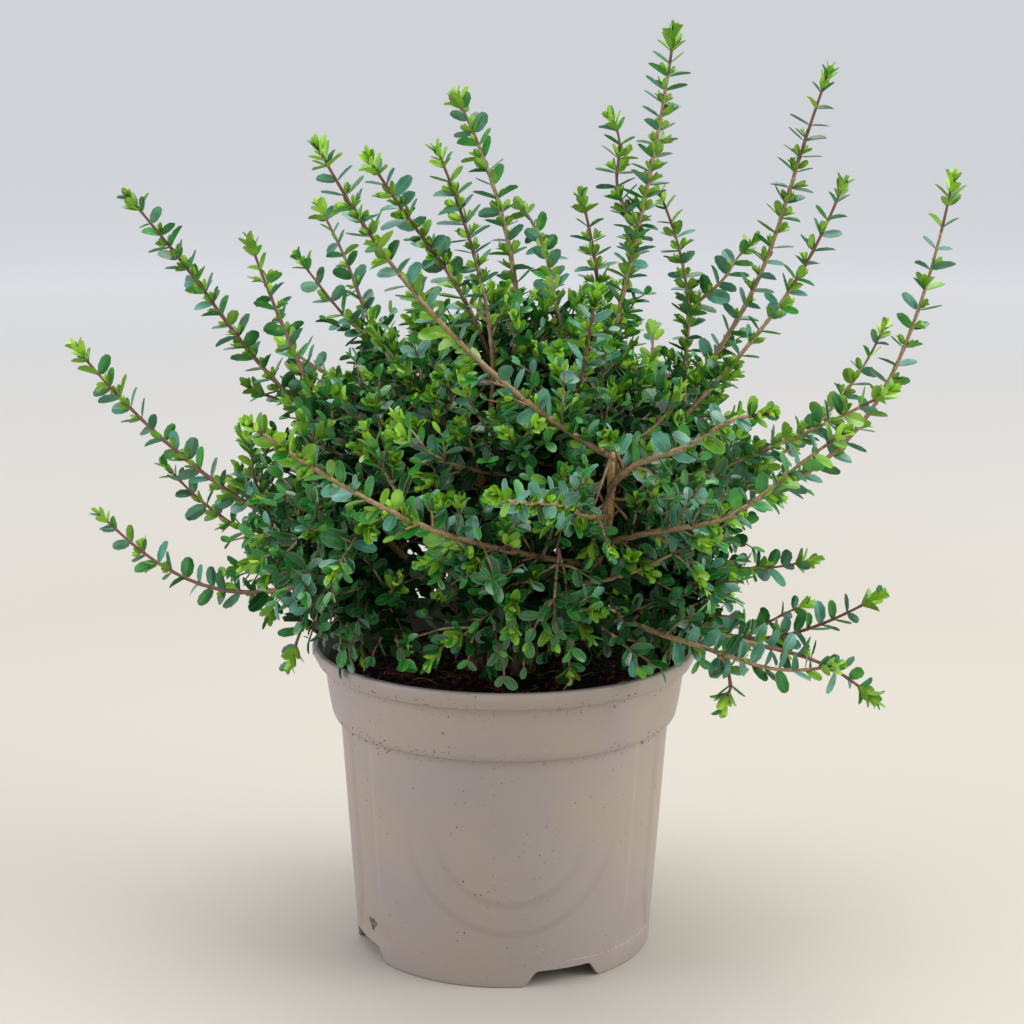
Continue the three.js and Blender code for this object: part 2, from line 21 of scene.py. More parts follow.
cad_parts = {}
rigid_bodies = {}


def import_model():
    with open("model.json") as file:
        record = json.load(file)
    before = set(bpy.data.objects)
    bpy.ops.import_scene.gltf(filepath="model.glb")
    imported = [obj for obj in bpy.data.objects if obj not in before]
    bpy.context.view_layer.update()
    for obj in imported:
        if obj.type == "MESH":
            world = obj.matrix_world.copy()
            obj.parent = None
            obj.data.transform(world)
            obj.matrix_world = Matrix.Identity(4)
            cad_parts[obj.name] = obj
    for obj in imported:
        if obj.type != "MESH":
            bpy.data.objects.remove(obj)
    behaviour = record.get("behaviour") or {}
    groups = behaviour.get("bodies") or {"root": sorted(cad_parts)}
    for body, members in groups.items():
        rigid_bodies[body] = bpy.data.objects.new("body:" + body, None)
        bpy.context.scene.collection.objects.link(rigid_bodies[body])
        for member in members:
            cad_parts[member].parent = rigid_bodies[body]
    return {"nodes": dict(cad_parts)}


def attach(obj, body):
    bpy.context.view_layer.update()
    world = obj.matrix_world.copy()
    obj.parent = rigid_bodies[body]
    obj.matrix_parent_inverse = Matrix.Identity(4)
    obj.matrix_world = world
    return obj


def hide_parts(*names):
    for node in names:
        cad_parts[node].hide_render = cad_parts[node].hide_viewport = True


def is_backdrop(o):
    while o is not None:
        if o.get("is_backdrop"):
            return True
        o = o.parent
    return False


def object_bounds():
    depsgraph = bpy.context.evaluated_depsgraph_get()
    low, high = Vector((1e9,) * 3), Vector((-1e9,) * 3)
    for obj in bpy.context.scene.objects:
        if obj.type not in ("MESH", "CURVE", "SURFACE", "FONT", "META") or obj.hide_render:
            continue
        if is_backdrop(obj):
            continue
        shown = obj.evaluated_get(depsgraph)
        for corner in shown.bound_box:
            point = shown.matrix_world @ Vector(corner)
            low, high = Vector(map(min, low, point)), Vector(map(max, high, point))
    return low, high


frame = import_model()
CAD_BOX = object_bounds()

Array = np.ndarray
Random = np.random.Generator
Pair = tuple[float, float]
BODY = "root"
MM = 0.001
UP = np.array([0.0, 0.0, 1.0])
log = logging.getLogger("box_honeysuckle")


# Vectors and curves


def unit(vectors: Array) -> Array:
    """The vectors at length 1."""
    return vectors / np.maximum(norm(vectors, axis=-1, keepdims=True), 1e-9)


def across(vectors: Array, direction: Array) -> Array:
    """What is left of direction once its part along the unit vectors is taken away, at length 1."""
    along = np.sum(vectors * direction, axis=-1, keepdims=True)
    return unit(direction - along * vectors)


def swung(first: Array, second: Array, angle: Array) -> Array:
    """The first of two square directions turned towards the second: cos(a) first + sin(a) second."""
    angle = np.reshape(angle, (-1, 1))
    return np.cos(angle) * first + np.sin(angle) * second


def square_to(way: Array) -> tuple[Array, Array]:
    """The level direction across unit vectors, and the rising one square to both."""
    level = unit(np.cross(way, UP) + [1e-6, 0, 0])
    return level, np.cross(level, way)


def polar(bearing: Array | float, radius: Array | float, height: Array | float) -> Array:
    """The place at a bearing in degrees, a distance from the axis and a height."""
    angle = np.radians(bearing)
    return np.stack(np.broadcast_arrays(radius * np.cos(angle), radius * np.sin(angle), height), -1)


def heading(bearing: Array | float, rise: Array | float) -> Array:
    """The unit vector at a bearing and a rise above level, both in degrees."""
    level = np.cos(np.radians(rise))
    return polar(bearing, level, np.sin(np.radians(rise)))


def part_way(ends: Pair, share: Array | float) -> Array | float:
    """Goes evenly from the first end to the second as share goes from 0 to 1."""
    return ends[0] + (ends[1] - ends[0]) * share


def ease(low: float, high: float, value: Array) -> Array:
    """0 below low, 1 above high, and 3t^2 - 2t^3 between them."""
    share = np.clip((value - low) / (high - low), 0, 1)
    return share * share * (3 - 2 * share)


def lattice_noise(points: Array, seed: int) -> Array:
    """Smooth noise from -1 to 1.

    Each corner of a unit lattice has a value hashed from its place, and a point takes the mean of
    its cell's eight corners, weighted by 3t^2 - 2t^3 along each axis.

    Args:
        points: places in units of the noise's own size, (..., 3).
        seed: picks one noise from many.

    Returns:
        One value for each point.
    """
    cell = np.floor(points).astype(np.int64)
    share = points - cell
    share = share * share * (3 - 2 * share)
    total = np.zeros(points.shape[:-1])
    for corner in np.ndindex(2, 2, 2):
        at = cell + np.array(corner)
        mixed = at[..., 0] * 73856093 ^ at[..., 1] * 19349663 ^ at[..., 2] * 83492791
        mixed = (mixed ^ seed * 2654435761) & 0xFFFFFFFF
        mixed = (mixed ^ mixed >> 15) * 2246822519 & 0xFFFFFFFF
        mixed = (mixed ^ mixed >> 13) * 3266489917 & 0xFFFFFFFF
        value = (mixed >> 8 & 0xFFFF) / 32767.5 - 1
        total += value * np.prod(np.where(corner, share, 1 - share), axis=-1)
    return total


@dataclass(frozen=True)
class Path:
    """A smooth line held as closely spaced points, read by share of its length."""

    points: Array

    @cached_property
    def run(self) -> Array:
        """The length that lies before each point."""
        return np.concatenate([[0], np.cumsum(norm(np.diff(self.points, axis=0), axis=1))])

    @property
    def length(self) -> float:
        """The line's length."""
        return self.run[-1]

    def at(self, shares: Array | float) -> Array:
        """The places at these shares of the length."""
        return np.stack([np.interp(shares, self.run / self.length, axis) for axis in self.points.T], -1)


def rounded_path(points: Array, samples: int = 200) -> Path:
    """A smooth line through a few points: the centripetal Catmull-Rom curve.

    Its knots lie the square root of the points' distance apart, and it is carried past both ends by
    the first and last step. Between two points it is the cubic with their places and tangents.
    """
    ends = (2 * points[0] - points[1], 2 * points[-1] - points[-2])
    held = np.vstack([ends[0], points, ends[1]])
    knot = np.sqrt(norm(np.diff(held, axis=0), axis=1))
    place = np.linspace(0, len(points) - 1, samples + 1)
    part = np.minimum(place.astype(int), len(points) - 2)
    share = (place - part)[:, None]
    before, middle, after = (knot[part + k][:, None] for k in range(3))
    a, b, c, d = (held[part + k] for k in range(4))
    start = middle * ((b - a) / before - (c - a) / (before + middle) + (c - b) / middle)
    stop = middle * ((c - b) / middle - (d - b) / (middle + after) + (d - c) / after)
    cubic = (2 * b - 2 * c + start + stop, 3 * c - 3 * b - 2 * start - stop, start, b)
    return Path(cubic[0] * share**3 + cubic[1] * share**2 + cubic[2] * share + cubic[3])


# Meshes


def grid_faces(rows: int, columns: int, *, loop_rows: bool = False, loop_columns: bool = False) -> Array:
    """Four-cornered faces of a grid of corners, row by row.

    Args:
        rows: rows of corners.
        columns: corners in each row.
        loop_rows: whether the last row joins the first.
        loop_columns: whether the last column joins the first.

    Returns:
        Corner numbers, (faces, 4). A face's front is where the columns turn left of the rows' run.
    """
    row = np.arange(rows if loop_rows else rows - 1)[:, None]
    column = np.arange(columns if loop_columns else columns - 1)
    next_row, next_column = (row + 1) % rows, (column + 1) % columns
    near, far = row * columns, next_row * columns
    return np.stack([near + column, near + next_column, far + next_column, far + column], -1).reshape(-1, 4)


def repeated(faces: Array, copies: int, corners_each: int) -> Array:
    """The same faces for each of many copies whose corners follow one another."""
    return (faces + np.arange(copies)[:, None, None] * corners_each).reshape(-1, faces.shape[-1])


def tube_faces(rings: int, sides: int) -> tuple[Array, Array]:
    """The four-cornered and three-cornered faces of a tube closed by a pole at each end."""
    around = np.arange(sides)
    onward = (around + 1) % sides
    first, last = rings * sides, rings * sides + 1
    top = (rings - 1) * sides
    caps = [
        np.stack([np.full(sides, first), onward, around], -1),
        np.stack([np.full(sides, last), top + around, top + onward], -1),
    ]
    return grid_faces(rings, sides, loop_columns=True), np.concatenate(caps)


def tube_corners(centres: Array, radii: Array, sides: int) -> Array:
    """Corners of many tubes at once.

    A corner is its ring's centre + radius * (cos(angle) * normal + sin(angle) * binormal). The
    normal is what the tube's own side direction leaves square to the line there.

    Args:
        centres: ring centres of each tube, (tubes, rings, 3).
        radii: radius of each ring (tubes, rings), or of each corner (tubes, rings, sides).
        sides: corners in a ring.

    Returns:
        (tubes, rings * sides + 2, 3), ring by ring and then the two poles.
    """
    tangent = unit(np.gradient(centres, axis=1))
    chord = unit(centres[:, -1] - centres[:, 0])
    leaning = np.where(np.abs(chord[:, 2:]) > 0.9, np.array([1.0, 0, 0]), UP)
    side = unit(np.cross(chord, leaning))[:, None]
    normal = across(tangent, side)
    binormal = np.cross(tangent, normal)
    angle = np.linspace(0, 2 * np.pi, sides, endpoint=False)[:, None]
    if radii.ndim == 2:
        radii = radii[..., None]
    spoke = np.cos(angle) * normal[:, :, None] + np.sin(angle) * binormal[:, :, None]
    rings = centres[:, :, None] + radii[..., None] * spoke
    dome = 0.5 * radii.mean(axis=2)[..., None]
    poles = [centres[:, 0] - tangent[:, 0] * dome[:, 0], centres[:, -1] + tangent[:, -1] * dome[:, -1]]
    return np.concatenate([rings.reshape(len(centres), -1, 3), np.stack(poles, 1)], axis=1)


@dataclass
class MeshDraft:
    """Patches of surface that are gathered in millimetres and made into one piece.

    Traits are numbers that each corner holds, by name, for the material to read.
    """

    corners: list[Array] = field(default_factory=list)
    faces: list[tuple[Array, Array]] = field(default_factory=list)
    count: int = 0
    traits: dict[str, Array] = field(default_factory=dict)

    def add(self, corners: Array, *faces: Array, slot: int | Array = 0) -> None:
        """Adds a patch.

        Args:
            corners: places, reshaped to (n, 3).
            faces: corner numbers within the patch, each (m, corners of a face).
            slot: the material slot of all of the patch, or one for each face of the first array.
        """
        corners = corners.reshape(-1, 3)
        for patch in faces:
            slots = slot if isinstance(slot, np.ndarray) and len(slot) == len(patch) else np.max(slot)
            self.faces.append((patch + self.count, np.broadcast_to(slots, len(patch))))
        self.corners.append(corners)
        self.count += len(corners)

    def add_tubes(self, centres: Array, radii: Array, sides: int, slot: int | Array = 0) -> None:
        """Adds many tubes, each closed by a pole at both ends, with centres and radii of each ring."""
        corners = tube_corners(centres, radii, sides)
        parts = tube_faces(centres.shape[1], sides)
        self.add(corners, *(repeated(part, *corners.shape[:2]) for part in parts), slot=slot)

    def make(self, name: str, finishes: Iterable["Finish"], crease: float = 50) -> bpy.types.Object:
        """Makes the piece, smooth wherever its faces meet at less than crease degrees."""
        mesh = bpy.data.meshes.new(name)
        mesh.vertices.add(self.count)
        mesh.vertices.foreach_set("co", (np.concatenate(self.corners) * MM).astype(np.float32).ravel())
        sizes = np.concatenate([np.full(len(patch), patch.shape[1]) for patch, _ in self.faces])
        mesh.loops.add(int(sizes.sum()))
        mesh.loops.foreach_set("vertex_index", np.concatenate([patch.ravel() for patch, _ in self.faces]))
        mesh.polygons.add(len(sizes))
        mesh.polygons.foreach_set("loop_start", np.cumsum(sizes) - sizes)
        mesh.polygons.foreach_set("material_index", np.concatenate([slots for _, slots in self.faces]))
        mesh.polygons.foreach_set("use_smooth", np.ones(len(sizes), bool))
        mesh.update(calc_edges=True)
        mesh.validate()
        mesh.set_sharp_from_angle(angle=math.radians(crease))
        for trait, values in self.traits.items():
            mesh.attributes.new(trait, "FLOAT", "POINT").data.foreach_set("value", values.astype(np.float32))
        for finish in finishes:
            mesh.materials.append(finish.material)
        piece = bpy.data.objects.new(name, mesh)
        bpy.context.scene.collection.objects.link(piece)
        return piece


def install(piece: bpy.types.Object, slot: str, nodes: Iterable[str]) -> bpy.types.Object:
    """Rides a piece on the pot's body, hides the solids it stands for and logs its triangles."""
    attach(piece, BODY)
    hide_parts(*nodes)
    piece.data.calc_loop_triangles()
    log.info("%s: %d triangles", piece.name, len(piece.data.loop_triangles))
    return piece


# Materials


def linear(colour: str) -> tuple[float, float, float, float]:
    """A colour written #rrggbb in sRGB, as linear red, green, blue and alpha."""
    value = np.array([int(colour[k : k + 2], 16) for k in (1, 3, 5)]) / 255
    value = np.where(value <= 0.04045, value / 12.92, ((value + 0.055) / 1.055) ** 2.4)
    return (*map(float, value), 1.0)


def add_node(
    tree: bpy.types.NodeTree, kind: str, inputs: dict[Any, Any] | None = None, **settings: Any
) -> Any:
    """Adds a shader node.

    Args:
        tree: the material's node tree.
        kind: the node's type without its ShaderNode.
        inputs: what each input is given, by name or number: a value, or another node's output.
        settings: the node's own properties.

    Returns:
        The node's outputs.
    """
    node = tree.nodes.new("ShaderNode" + kind)
    for name, value in settings.items():
        setattr(node, name, value)
    for socket, value in (inputs or {}).items():
        if isinstance(value, bpy.types.NodeSocket):
            tree.links.new(value, node.inputs[socket])
        else:
            node.inputs[socket].default_value = value
    return node.outputs


@dataclass(frozen=True)
class Graph:
    """A material's node tree, with the kinds of node that the finishes are made of.

    Values are sockets or numbers, colours are sockets or #rrggbb, and lengths are in metres unless
    they are called millimetres.
    """

    tree: bpy.types.NodeTree
    # a Mix node's sockets for colours: share, first, second and result
    MIX = (0, 6, 7, 2)

    @cached_property
    def places(self) -> Any:
        """The socket that gives each point's place on the object."""
        return add_node(self.tree, "TexCoord")["Object"]

    @cached_property
    def axes(self) -> Any:
        """The sockets X, Y and Z of each point's place."""
        return add_node(self.tree, "SeparateXYZ", {"Vector": self.places})

    def distance(self, place: Iterable[float] = (0, 0, 0)) -> Any:
        """How far each point lies from a place in millimetres."""
        sockets = {0: self.places, 1: tuple(float(axis) * MM for axis in place)}
        return add_node(self.tree, "VectorMath", sockets, operation="DISTANCE")["Value"]

    def noise(self, width: float, detail: float = 2, places: Any = None) -> Any:
        """Noise whose lumps are about width millimetres across, from 0 to 1."""
        places = self.places if places is None else places
        sockets = {"Vector": places, "Scale": 1 / (width * MM), "Detail": detail, "Roughness": 0.6}
        return add_node(self.tree, "TexNoise", sockets)["Fac"]

    def ranged(self, value: Any, low: float, high: float, to: Pair = (0, 1)) -> Any:
        """The value's run from low to high, spread over to[0] to to[1] and held at its ends."""
        ends = {"Value": value, "From Min": low, "From Max": high, "To Min": to[0], "To Max": to[1]}
        return add_node(self.tree, "MapRange", ends)["Result"]

    def blend(self, share: Any, *colours: Any) -> Any:
        """Goes from the first colour to the second as share goes from 0 to 1."""
        given = (share, *(linear(colour) if isinstance(colour, str) else colour for colour in colours))
        return add_node(self.tree, "Mix", dict(zip(self.MIX, given)), data_type="RGBA")[self.MIX[-1]]

    def joined(self, operation: str, *values: Any) -> Any:
        """The values joined by an operation of the Math node, from the first to the last."""
        total, *others = values
        for value in others:
            total = add_node(self.tree, "Math", {0: total, 1: value}, operation=operation)[0]
        return total

    def product(self, *values: Any) -> Any:
        """The values multiplied."""
        return self.joined("MULTIPLY", *values)

    def gap(self, one: Any, two: Any) -> Any:
        """How far apart two values are."""
        return self.joined("ABSOLUTE", self.joined("SUBTRACT", one, two), 0)

    def bumps(self, height: Any, depth: float, strength: float = 1.0) -> Any:
        """A surface normal from a height of 0 to 1 that stands for depth millimetres."""
        sockets = {"Height": height, "Distance": depth * MM, "Strength": strength}
        return add_node(self.tree, "Bump", sockets)["Normal"]


# Parts of a noise's run from 0 to 1: what holds nearly all of it, and where patches change colour
MOST = (0.3, 0.7)
CHANGE = (0.36, 0.64)


@dataclass(frozen=True)
class Finish:
    """What every finish has: a name, and one material that is made when first asked for."""

    name: str

    @property
    def material(self) -> bpy.types.Material:
        """The finish's material."""
        made = bpy.data.materials.get(self.name)
        if made is None:
            made = bpy.data.materials.new(self.name)
            made.use_nodes = True
            made.node_tree.nodes.clear()
            surface = add_node(made.node_tree, "BsdfPrincipled", self.shader(Graph(made.node_tree)))
            add_node(made.node_tree, "OutputMaterial", {"Surface": surface["BSDF"]})
        return made

    def shader(self, graph: Graph) -> dict[str, Any]:
        """What the surface shader's sockets are given."""
        raise NotImplementedError


@dataclass(frozen=True)
class WaxyLeaf(Finish):
    """A small evergreen leaf's upper face: thick and waxy, with a pale midrib and a thin edge painted pale as
    highlights.

    The waxy shine comes in broad soft patches. It is full on leaves in the light and taken away on the shaded
    leaves deep in the crown, as painted shade.
    """

    dark: str
    light: str
    # the pale of the painted highlights on midrib and edge
    pale: str
    gloss: float
    # 1 on leaves in the light, 0 on shaded leaves, whose shine is taken away as painted shade
    wax: float
    PATCH = 9.0
    SKIN = 1.4

    def shader(self, graph: Graph) -> dict[str, Any]:
        """Two greens in patches as wide as a leaf, so that leaves differ, then the painted highlights on midrib
        and edge.
        """
        colour = graph.blend(graph.ranged(graph.noise(self.PATCH, 1), *CHANGE), self.dark, self.light)
        outward = add_node(graph.tree, "Attribute", attribute_name=LeafShape.OUTWARD)["Fac"]
        # painted highlights: the thin edge painted pale as if it caught the light, and the midrib, paler in
        # itself, a little more
        edge = graph.ranged(outward, 0.82, 0.97, (0, 0.55))
        midrib = graph.ranged(outward, 0.03, 0.12, (0.3, 0))
        skin = graph.noise(self.SKIN)
        return {
            "Base Color": graph.blend(graph.joined("MAXIMUM", edge, midrib), colour, self.pale),
            "Roughness": graph.ranged(skin, *MOST, (self.gloss - 0.06, self.gloss + 0.1)),
            "Normal": graph.bumps(skin, 0.12, 0.12),
            "IOR": 1.3 + 0.2 * self.wax,
            "Coat Weight": 0.25 * self.wax,
            "Coat Roughness": 0.3,
        }


@dataclass(frozen=True)
class TwoTone(Finish):
    """A dull skin in two shades, and rougher or higher where it is lighter.

    Patches of noise are width millimetres across and break up with detail. They turn from dark to
    light between two edges, and roughness is one value, or runs from the first to the second.
    """

    dark: str
    light: str
    width: float
    detail: float = 4
    edges: Pair = CHANGE
    rough: Pair | float = 0.85
    rough_edges: Pair = MOST
    relief: float = 0
    ior: float = 1.4

    def shader(self, graph: Graph) -> dict[str, Any]:
        """One noise picks the shade, the roughness and the height."""
        patches = graph.noise(self.width, self.detail)
        colour = graph.blend(graph.ranged(patches, *self.edges), self.dark, self.light)
        sockets = {"Base Color": colour, "Roughness": self.rough, "IOR": self.ior}
        if isinstance(self.rough, tuple):
            sockets["Roughness"] = graph.ranged(patches, *self.rough_edges, self.rough)
        if self.relief:
            sockets["Normal"] = graph.bumps(patches, self.relief)
        return sockets


@dataclass(frozen=True)
class MattLeaf(TwoTone):
    """The underside of a leaf: paler than its face, with no wax, in patches as wide as a leaf."""

    width: float = 7
    detail: float = 1
    rough: float = 0.62


@dataclass(frozen=True)
class TwigBark(TwoTone):
    """Thin bark on a twig: smooth when it is young and wine red, stringy when it is old and tan."""

    width: float = 1.4
    edges: Pair = (0.34, 0.66)
    rough: Pair = (0.55, 0.8)
    relief: float = 0.12
    ior: float = 1.45


@dataclass(frozen=True)
class Compost(TwoTone):
    """Damp peat: nearly black, with browner dry crumbs and no shine but for wet points."""

    width: float = 2.2
    detail: float = 6
    edges: Pair = (0.42, 0.68)
    rough: Pair = (0.7, 0.95)
    rough_edges: Pair = (0.3, 0.6)
    relief: float = 1.2


@dataclass(frozen=True)
class Fibre(TwoTone):
    """Shredded bark and roots in the compost: dull, and darker where it is damp."""

    width: float = 2.5
    detail: float = 3
    edges: Pair = (0.36, 0.6)


@dataclass(frozen=True)
class FlakyBark(Finish):
    """Old honeysuckle bark: papery grey and tan strips that peel along the stem over redder wood."""

    wood: str = "#57361f"
    paper: str = "#96734f"
    weathered: str = "#726556"
    STRIP = 1.6
    STRETCH = 0.16
    FADED = 14

    def shader(self, graph: Graph) -> dict[str, Any]:
        """Long strips, stretched along Z, over a slow change from tan to weathered grey."""
        stretch = {"Vector": graph.places, "Scale": (1, 1, self.STRETCH)}
        strips = graph.noise(self.STRIP, 5, add_node(graph.tree, "Mapping", stretch)["Vector"])
        paper = graph.blend(graph.ranged(graph.noise(self.FADED), 0.4, 0.62), self.paper, self.weathered)
        return {
            "Base Color": graph.blend(graph.ranged(strips, 0.4, 0.56), self.wood, paper),
            "Roughness": graph.ranged(strips, *MOST, (0.9, 0.7)),
            "Normal": graph.bumps(strips, 0.5),
            "IOR": 1.4,
        }


# Where the plastic entered the mould, by bearing, radius and height, and the rings round it
GATE = (-87, 77, 80)
GATE_RINGS = (37, 52)


@dataclass(frozen=True)
class MouldedPot(Finish):
    """Injection-moulded polypropylene in taupe, satin, with an orange-peel skin and potting dirt.

    Its colour drifts between a warm and a cool taupe over a hand's breadth, and two rings below
    the gate are painted a little darker, as shade along the faint ring relief there. Dirt gathers
    where it would when a pot is filled and watered: specks all over and in splashes, more under
    the lip and the collar, and one smear beside the notch at the left. Sizes and places are in
    millimetres.
    """

    warm: str = "#a4978b"
    cool: str = "#a0948f"
    dirt: str = "#2f241b"
    lime: str = "#c9c2ba"
    # painted shade along the ring relief round the gate
    flow_mark: str = "#7c6f68"
    ledges: Pair = (116.5, 143.0)
    ledge_reach: float = 4.2
    smear: tuple[float, float, float] = (-65.0, -37.2, 17.5)
    scratch_height: float = 13.0
    scratch_bow: float = 0.04
    # cell, share of cells that hold a speck and largest radius, for fine and for coarse specks
    speckled: tuple[tuple[float, float, float], ...] = ((4.2, 0.3, 0.4), (9, 0.16, 0.62))
    DRIFT = 55.0
    SPLASH = 24.0
    GRIT = 2.1
    GRAVEL = 1.3
    PEEL = 0.9

    def plastic(self, graph: Graph) -> Any:
        """The two taupes, and the painted shade in rings round the gate, which fades out towards its height."""
        colour = graph.blend(graph.ranged(graph.noise(self.DRIFT, 1), 0.4, 0.6), self.warm, self.cool)
        from_gate = graph.distance(polar(*GATE))
        off_ring = graph.joined("MINIMUM", *(graph.gap(from_gate, radius * MM) for radius in GATE_RINGS))
        below = graph.ranged(graph.axes["Z"], (GATE[2] - 26) * MM, (GATE[2] + 2) * MM, (1, 0))
        # rings painted darker as shade along the relief, fading out towards the gate's height
        marked = graph.ranged(off_ring, 0.6 * MM, 3 * MM, (0.15, 0))
        return graph.blend(graph.product(marked, below), colour, self.flow_mark)

    def specks(self, graph: Graph, cell: float, kept: float, radius: float) -> Any:
        """1 on round specks at the middles of random cells, and 0 off them.

        Cells are cell wide, kept is the share of them that hold a speck, and radius is the largest.
        """
        sockets = {"Vector": graph.places, "Scale": 1 / (cell * MM), "Randomness": 1.0}
        cells = add_node(graph.tree, "TexVoronoi", sockets)
        chance = add_node(graph.tree, "SeparateColor", {"Color": cells["Color"]})
        held = graph.joined("GREATER_THAN", chance["Red"], 1 - kept)
        reach = graph.ranged(chance["Green"], 0, 1, (0.35 * radius / cell, radius / cell))
        return graph.product(held, graph.joined("LESS_THAN", cells["Distance"], reach))

    def gathered(self, graph: Graph, grit: Any) -> Any:
        """Dirt close under a ledge, in patches that are rarer at the front."""
        off_ledge = (graph.gap(height * MM, graph.axes["Z"]) for height in self.ledges)
        near = graph.joined("LESS_THAN", graph.joined("MINIMUM", *off_ledge), self.ledge_reach * MM)
        aside = graph.joined("ABSOLUTE", graph.axes["X"], 0)
        patchy = graph.ranged(graph.noise(22, 1), 0.38, 0.52)
        rarer = graph.ranged(aside, 22 * MM, 58 * MM, (0.25, 1))
        return graph.product(near, graph.ranged(grit, 0.6, 0.64), graph.product(patchy, rarer))

    def smeared(self, graph: Graph, gravel: Any) -> Any:
        """The smear: gravel within a ragged edge round its place."""
        reach = graph.product(graph.noise(5, 3), 9 * MM)
        beyond = graph.joined("SUBTRACT", graph.distance(self.smear), reach)
        within = graph.ranged(beyond, -1.6 * MM, -0.8 * MM, (1, 0))
        return graph.product(within, graph.ranged(gravel, 0.36, 0.46))

    def scratched(self, graph: Graph, grit: Any) -> Any:
        """A thin broken scratch near the foot at the right of the front, a little bowed."""
        level = graph.joined("ADD", graph.axes["Z"], graph.product(graph.axes["X"], self.scratch_bow))
        thin = graph.joined("LESS_THAN", graph.gap(level, self.scratch_height * MM), 0.22 * MM)
        ahead = graph.joined("LESS_THAN", graph.axes["Y"], -20 * MM)
        rightward = graph.joined("GREATER_THAN", graph.axes["X"], 30 * MM)
        return graph.product(thin, ahead, rightward, graph.ranged(grit, 0.46, 0.52))

    def shader(self, graph: Graph) -> dict[str, Any]:
        """Taupe plastic, then all the dirt, and the scratch over it."""
        grit, gravel = graph.noise(self.GRIT, 3), graph.noise(self.GRAVEL, 3)
        splashes = graph.ranged(graph.noise(self.SPLASH, 2), 0.5, 0.6)
        splashed = graph.product(splashes, graph.ranged(gravel, 0.67, 0.7))
        specks = (self.specks(graph, *sizes) for sizes in self.speckled)
        gathered, smeared = self.gathered(graph, grit), self.smeared(graph, gravel)
        dirt = graph.joined("MAXIMUM", gathered, splashed, smeared, *specks)
        colour = graph.blend(graph.product(dirt, 0.85), self.plastic(graph), self.dirt)
        scratched = graph.product(self.scratched(graph, grit), 0.7)
        peel = graph.noise(self.PEEL)
        rough = graph.ranged(peel, *MOST, (0.4, 0.5))
        return {
            "Base Color": graph.blend(scratched, colour, self.lime),
            "Roughness": graph.joined("ADD", rough, graph.product(dirt, 0.4)),
            "Normal": graph.bumps(peel, 0.06, 0.5),
            "IOR": 1.49,
        }


@dataclass(frozen=True)
class StudioFloor(Finish):
    """A plain pale floor: matt paint, warm near the pot and paler far off, where it meets the sky."""

    near: str = "#c4bdb1"
    far: str = "#ffffff"
    # metres from the pot
    FADE = (0.7, 3.0)

    def shader(self, graph: Graph) -> dict[str, Any]:
        """Two matt colours, from near to far by the distance from the pot."""
        faded = graph.ranged(graph.distance(), *self.FADE)
        return {"Base Color": graph.blend(faded, self.near, self.far), "Roughness": 0.8, "IOR": 1.45}


TAN_BARK = TwigBark("twig bark, tan and stringy", "#80674d", "#b5966e")
WINE_BARK = TwigBark("twig bark, young and wine red", "#68403a", "#8c6252", width=1.8, relief=0.05)
# the boughs' young bark: its own light tan, painted paler still as light, as on the lit front bough
BOUGH_BARK = TwigBark("bough bark, smooth and light tan", "#bf9558", "#eac688", width=2.2, relief=0.15)
OLD_BARK = FlakyBark("honeysuckle bark, peeling in strips")
PEAT = Compost("damp peat compost", "#090605", "#21150f")
SHREDDED_BARK = Fibre("shredded bark, red-brown", "#2a120a", "#6e3522")
PALE_ROOT = Fibre("dry rootlets, pale", "#75624d", "#b7a488")
POT_PLASTIC = MouldedPot("polypropylene, moulded in taupe")


class Age(Enum):
    """The ages of leaf, from the darkest, shaded green to the opening bud, each with its faces.

    The shaded green is painted shade, taken by leaves deep in the crown. A weathered leaf is one of last year's,
    blue-green partly from its age and partly from a painted sheen of the sky on its waxy face.
    """

    # upper face dark and light, the pale of its painted highlights, underside dark and light, and gloss; SHADED
    # is painted shade for leaves deep in the crown
    SHADED = ("#06270a", "#0d3b12", "#2c5a30", "#17401a", "#234f25", 0.38)
    MATURE = ("#0b4917", "#1a6829", "#76a866", "#2f7032", "#469048", 0.27)
    SUMMER = ("#17701b", "#2f9033", "#96b862", "#3f8c38", "#5ea84a", 0.27)
    FRESH = ("#4f8c10", "#7cb028", "#a8c458", "#689a28", "#86b03a", 0.34)
    BUD = ("#7cba12", "#a2d634", "#c2e068", "#88be2c", "#a6d248", 0.4)
    # blue-green old leaves in the open: partly the tone of age, partly a painted sheen of the sky
    WEATHERED = ("#2f6e52", "#54957a", "#8cbca4", "#4a8062", "#649a78", 0.3)

    @property
    def number(self) -> int:
        """The age's place in the order from old to young."""
        return list(Age).index(self)

    @property
    def label(self) -> str:
        """The age in lower case, for the names of pieces."""
        return self.name.lower()

    @property
    def faces(self) -> tuple[Finish, Finish]:
        """The finishes of the upper face and the underside."""
        dark, light, pale, under_dark, under_light, gloss = self.value
        # shaded leaves lose their shine as well, as painted shade
        wax = float(self is not Age.SHADED)
        return (
            WaxyLeaf(f"{self.label} leaf, waxy upper face", dark, light, pale, gloss, wax),
            MattLeaf(f"{self.label} leaf, matt underside", under_dark, under_light),
        )

    @property
    def stations(self) -> tuple[float, ...]:
        """Where along its length such a leaf has corners."""
        return {Age.BUD: BUD_STATIONS, Age.SHADED: SHADED_STATIONS}.get(self, STATIONS)

    @property
    def slot(self) -> str:
        """The name of the record's slot for such a leaf."""
        return "leaf_young" if self in (Age.FRESH, Age.BUD) else "leaf_dark"


# The source's rule: the draws and lines of the solids, so that the finer growth follows them


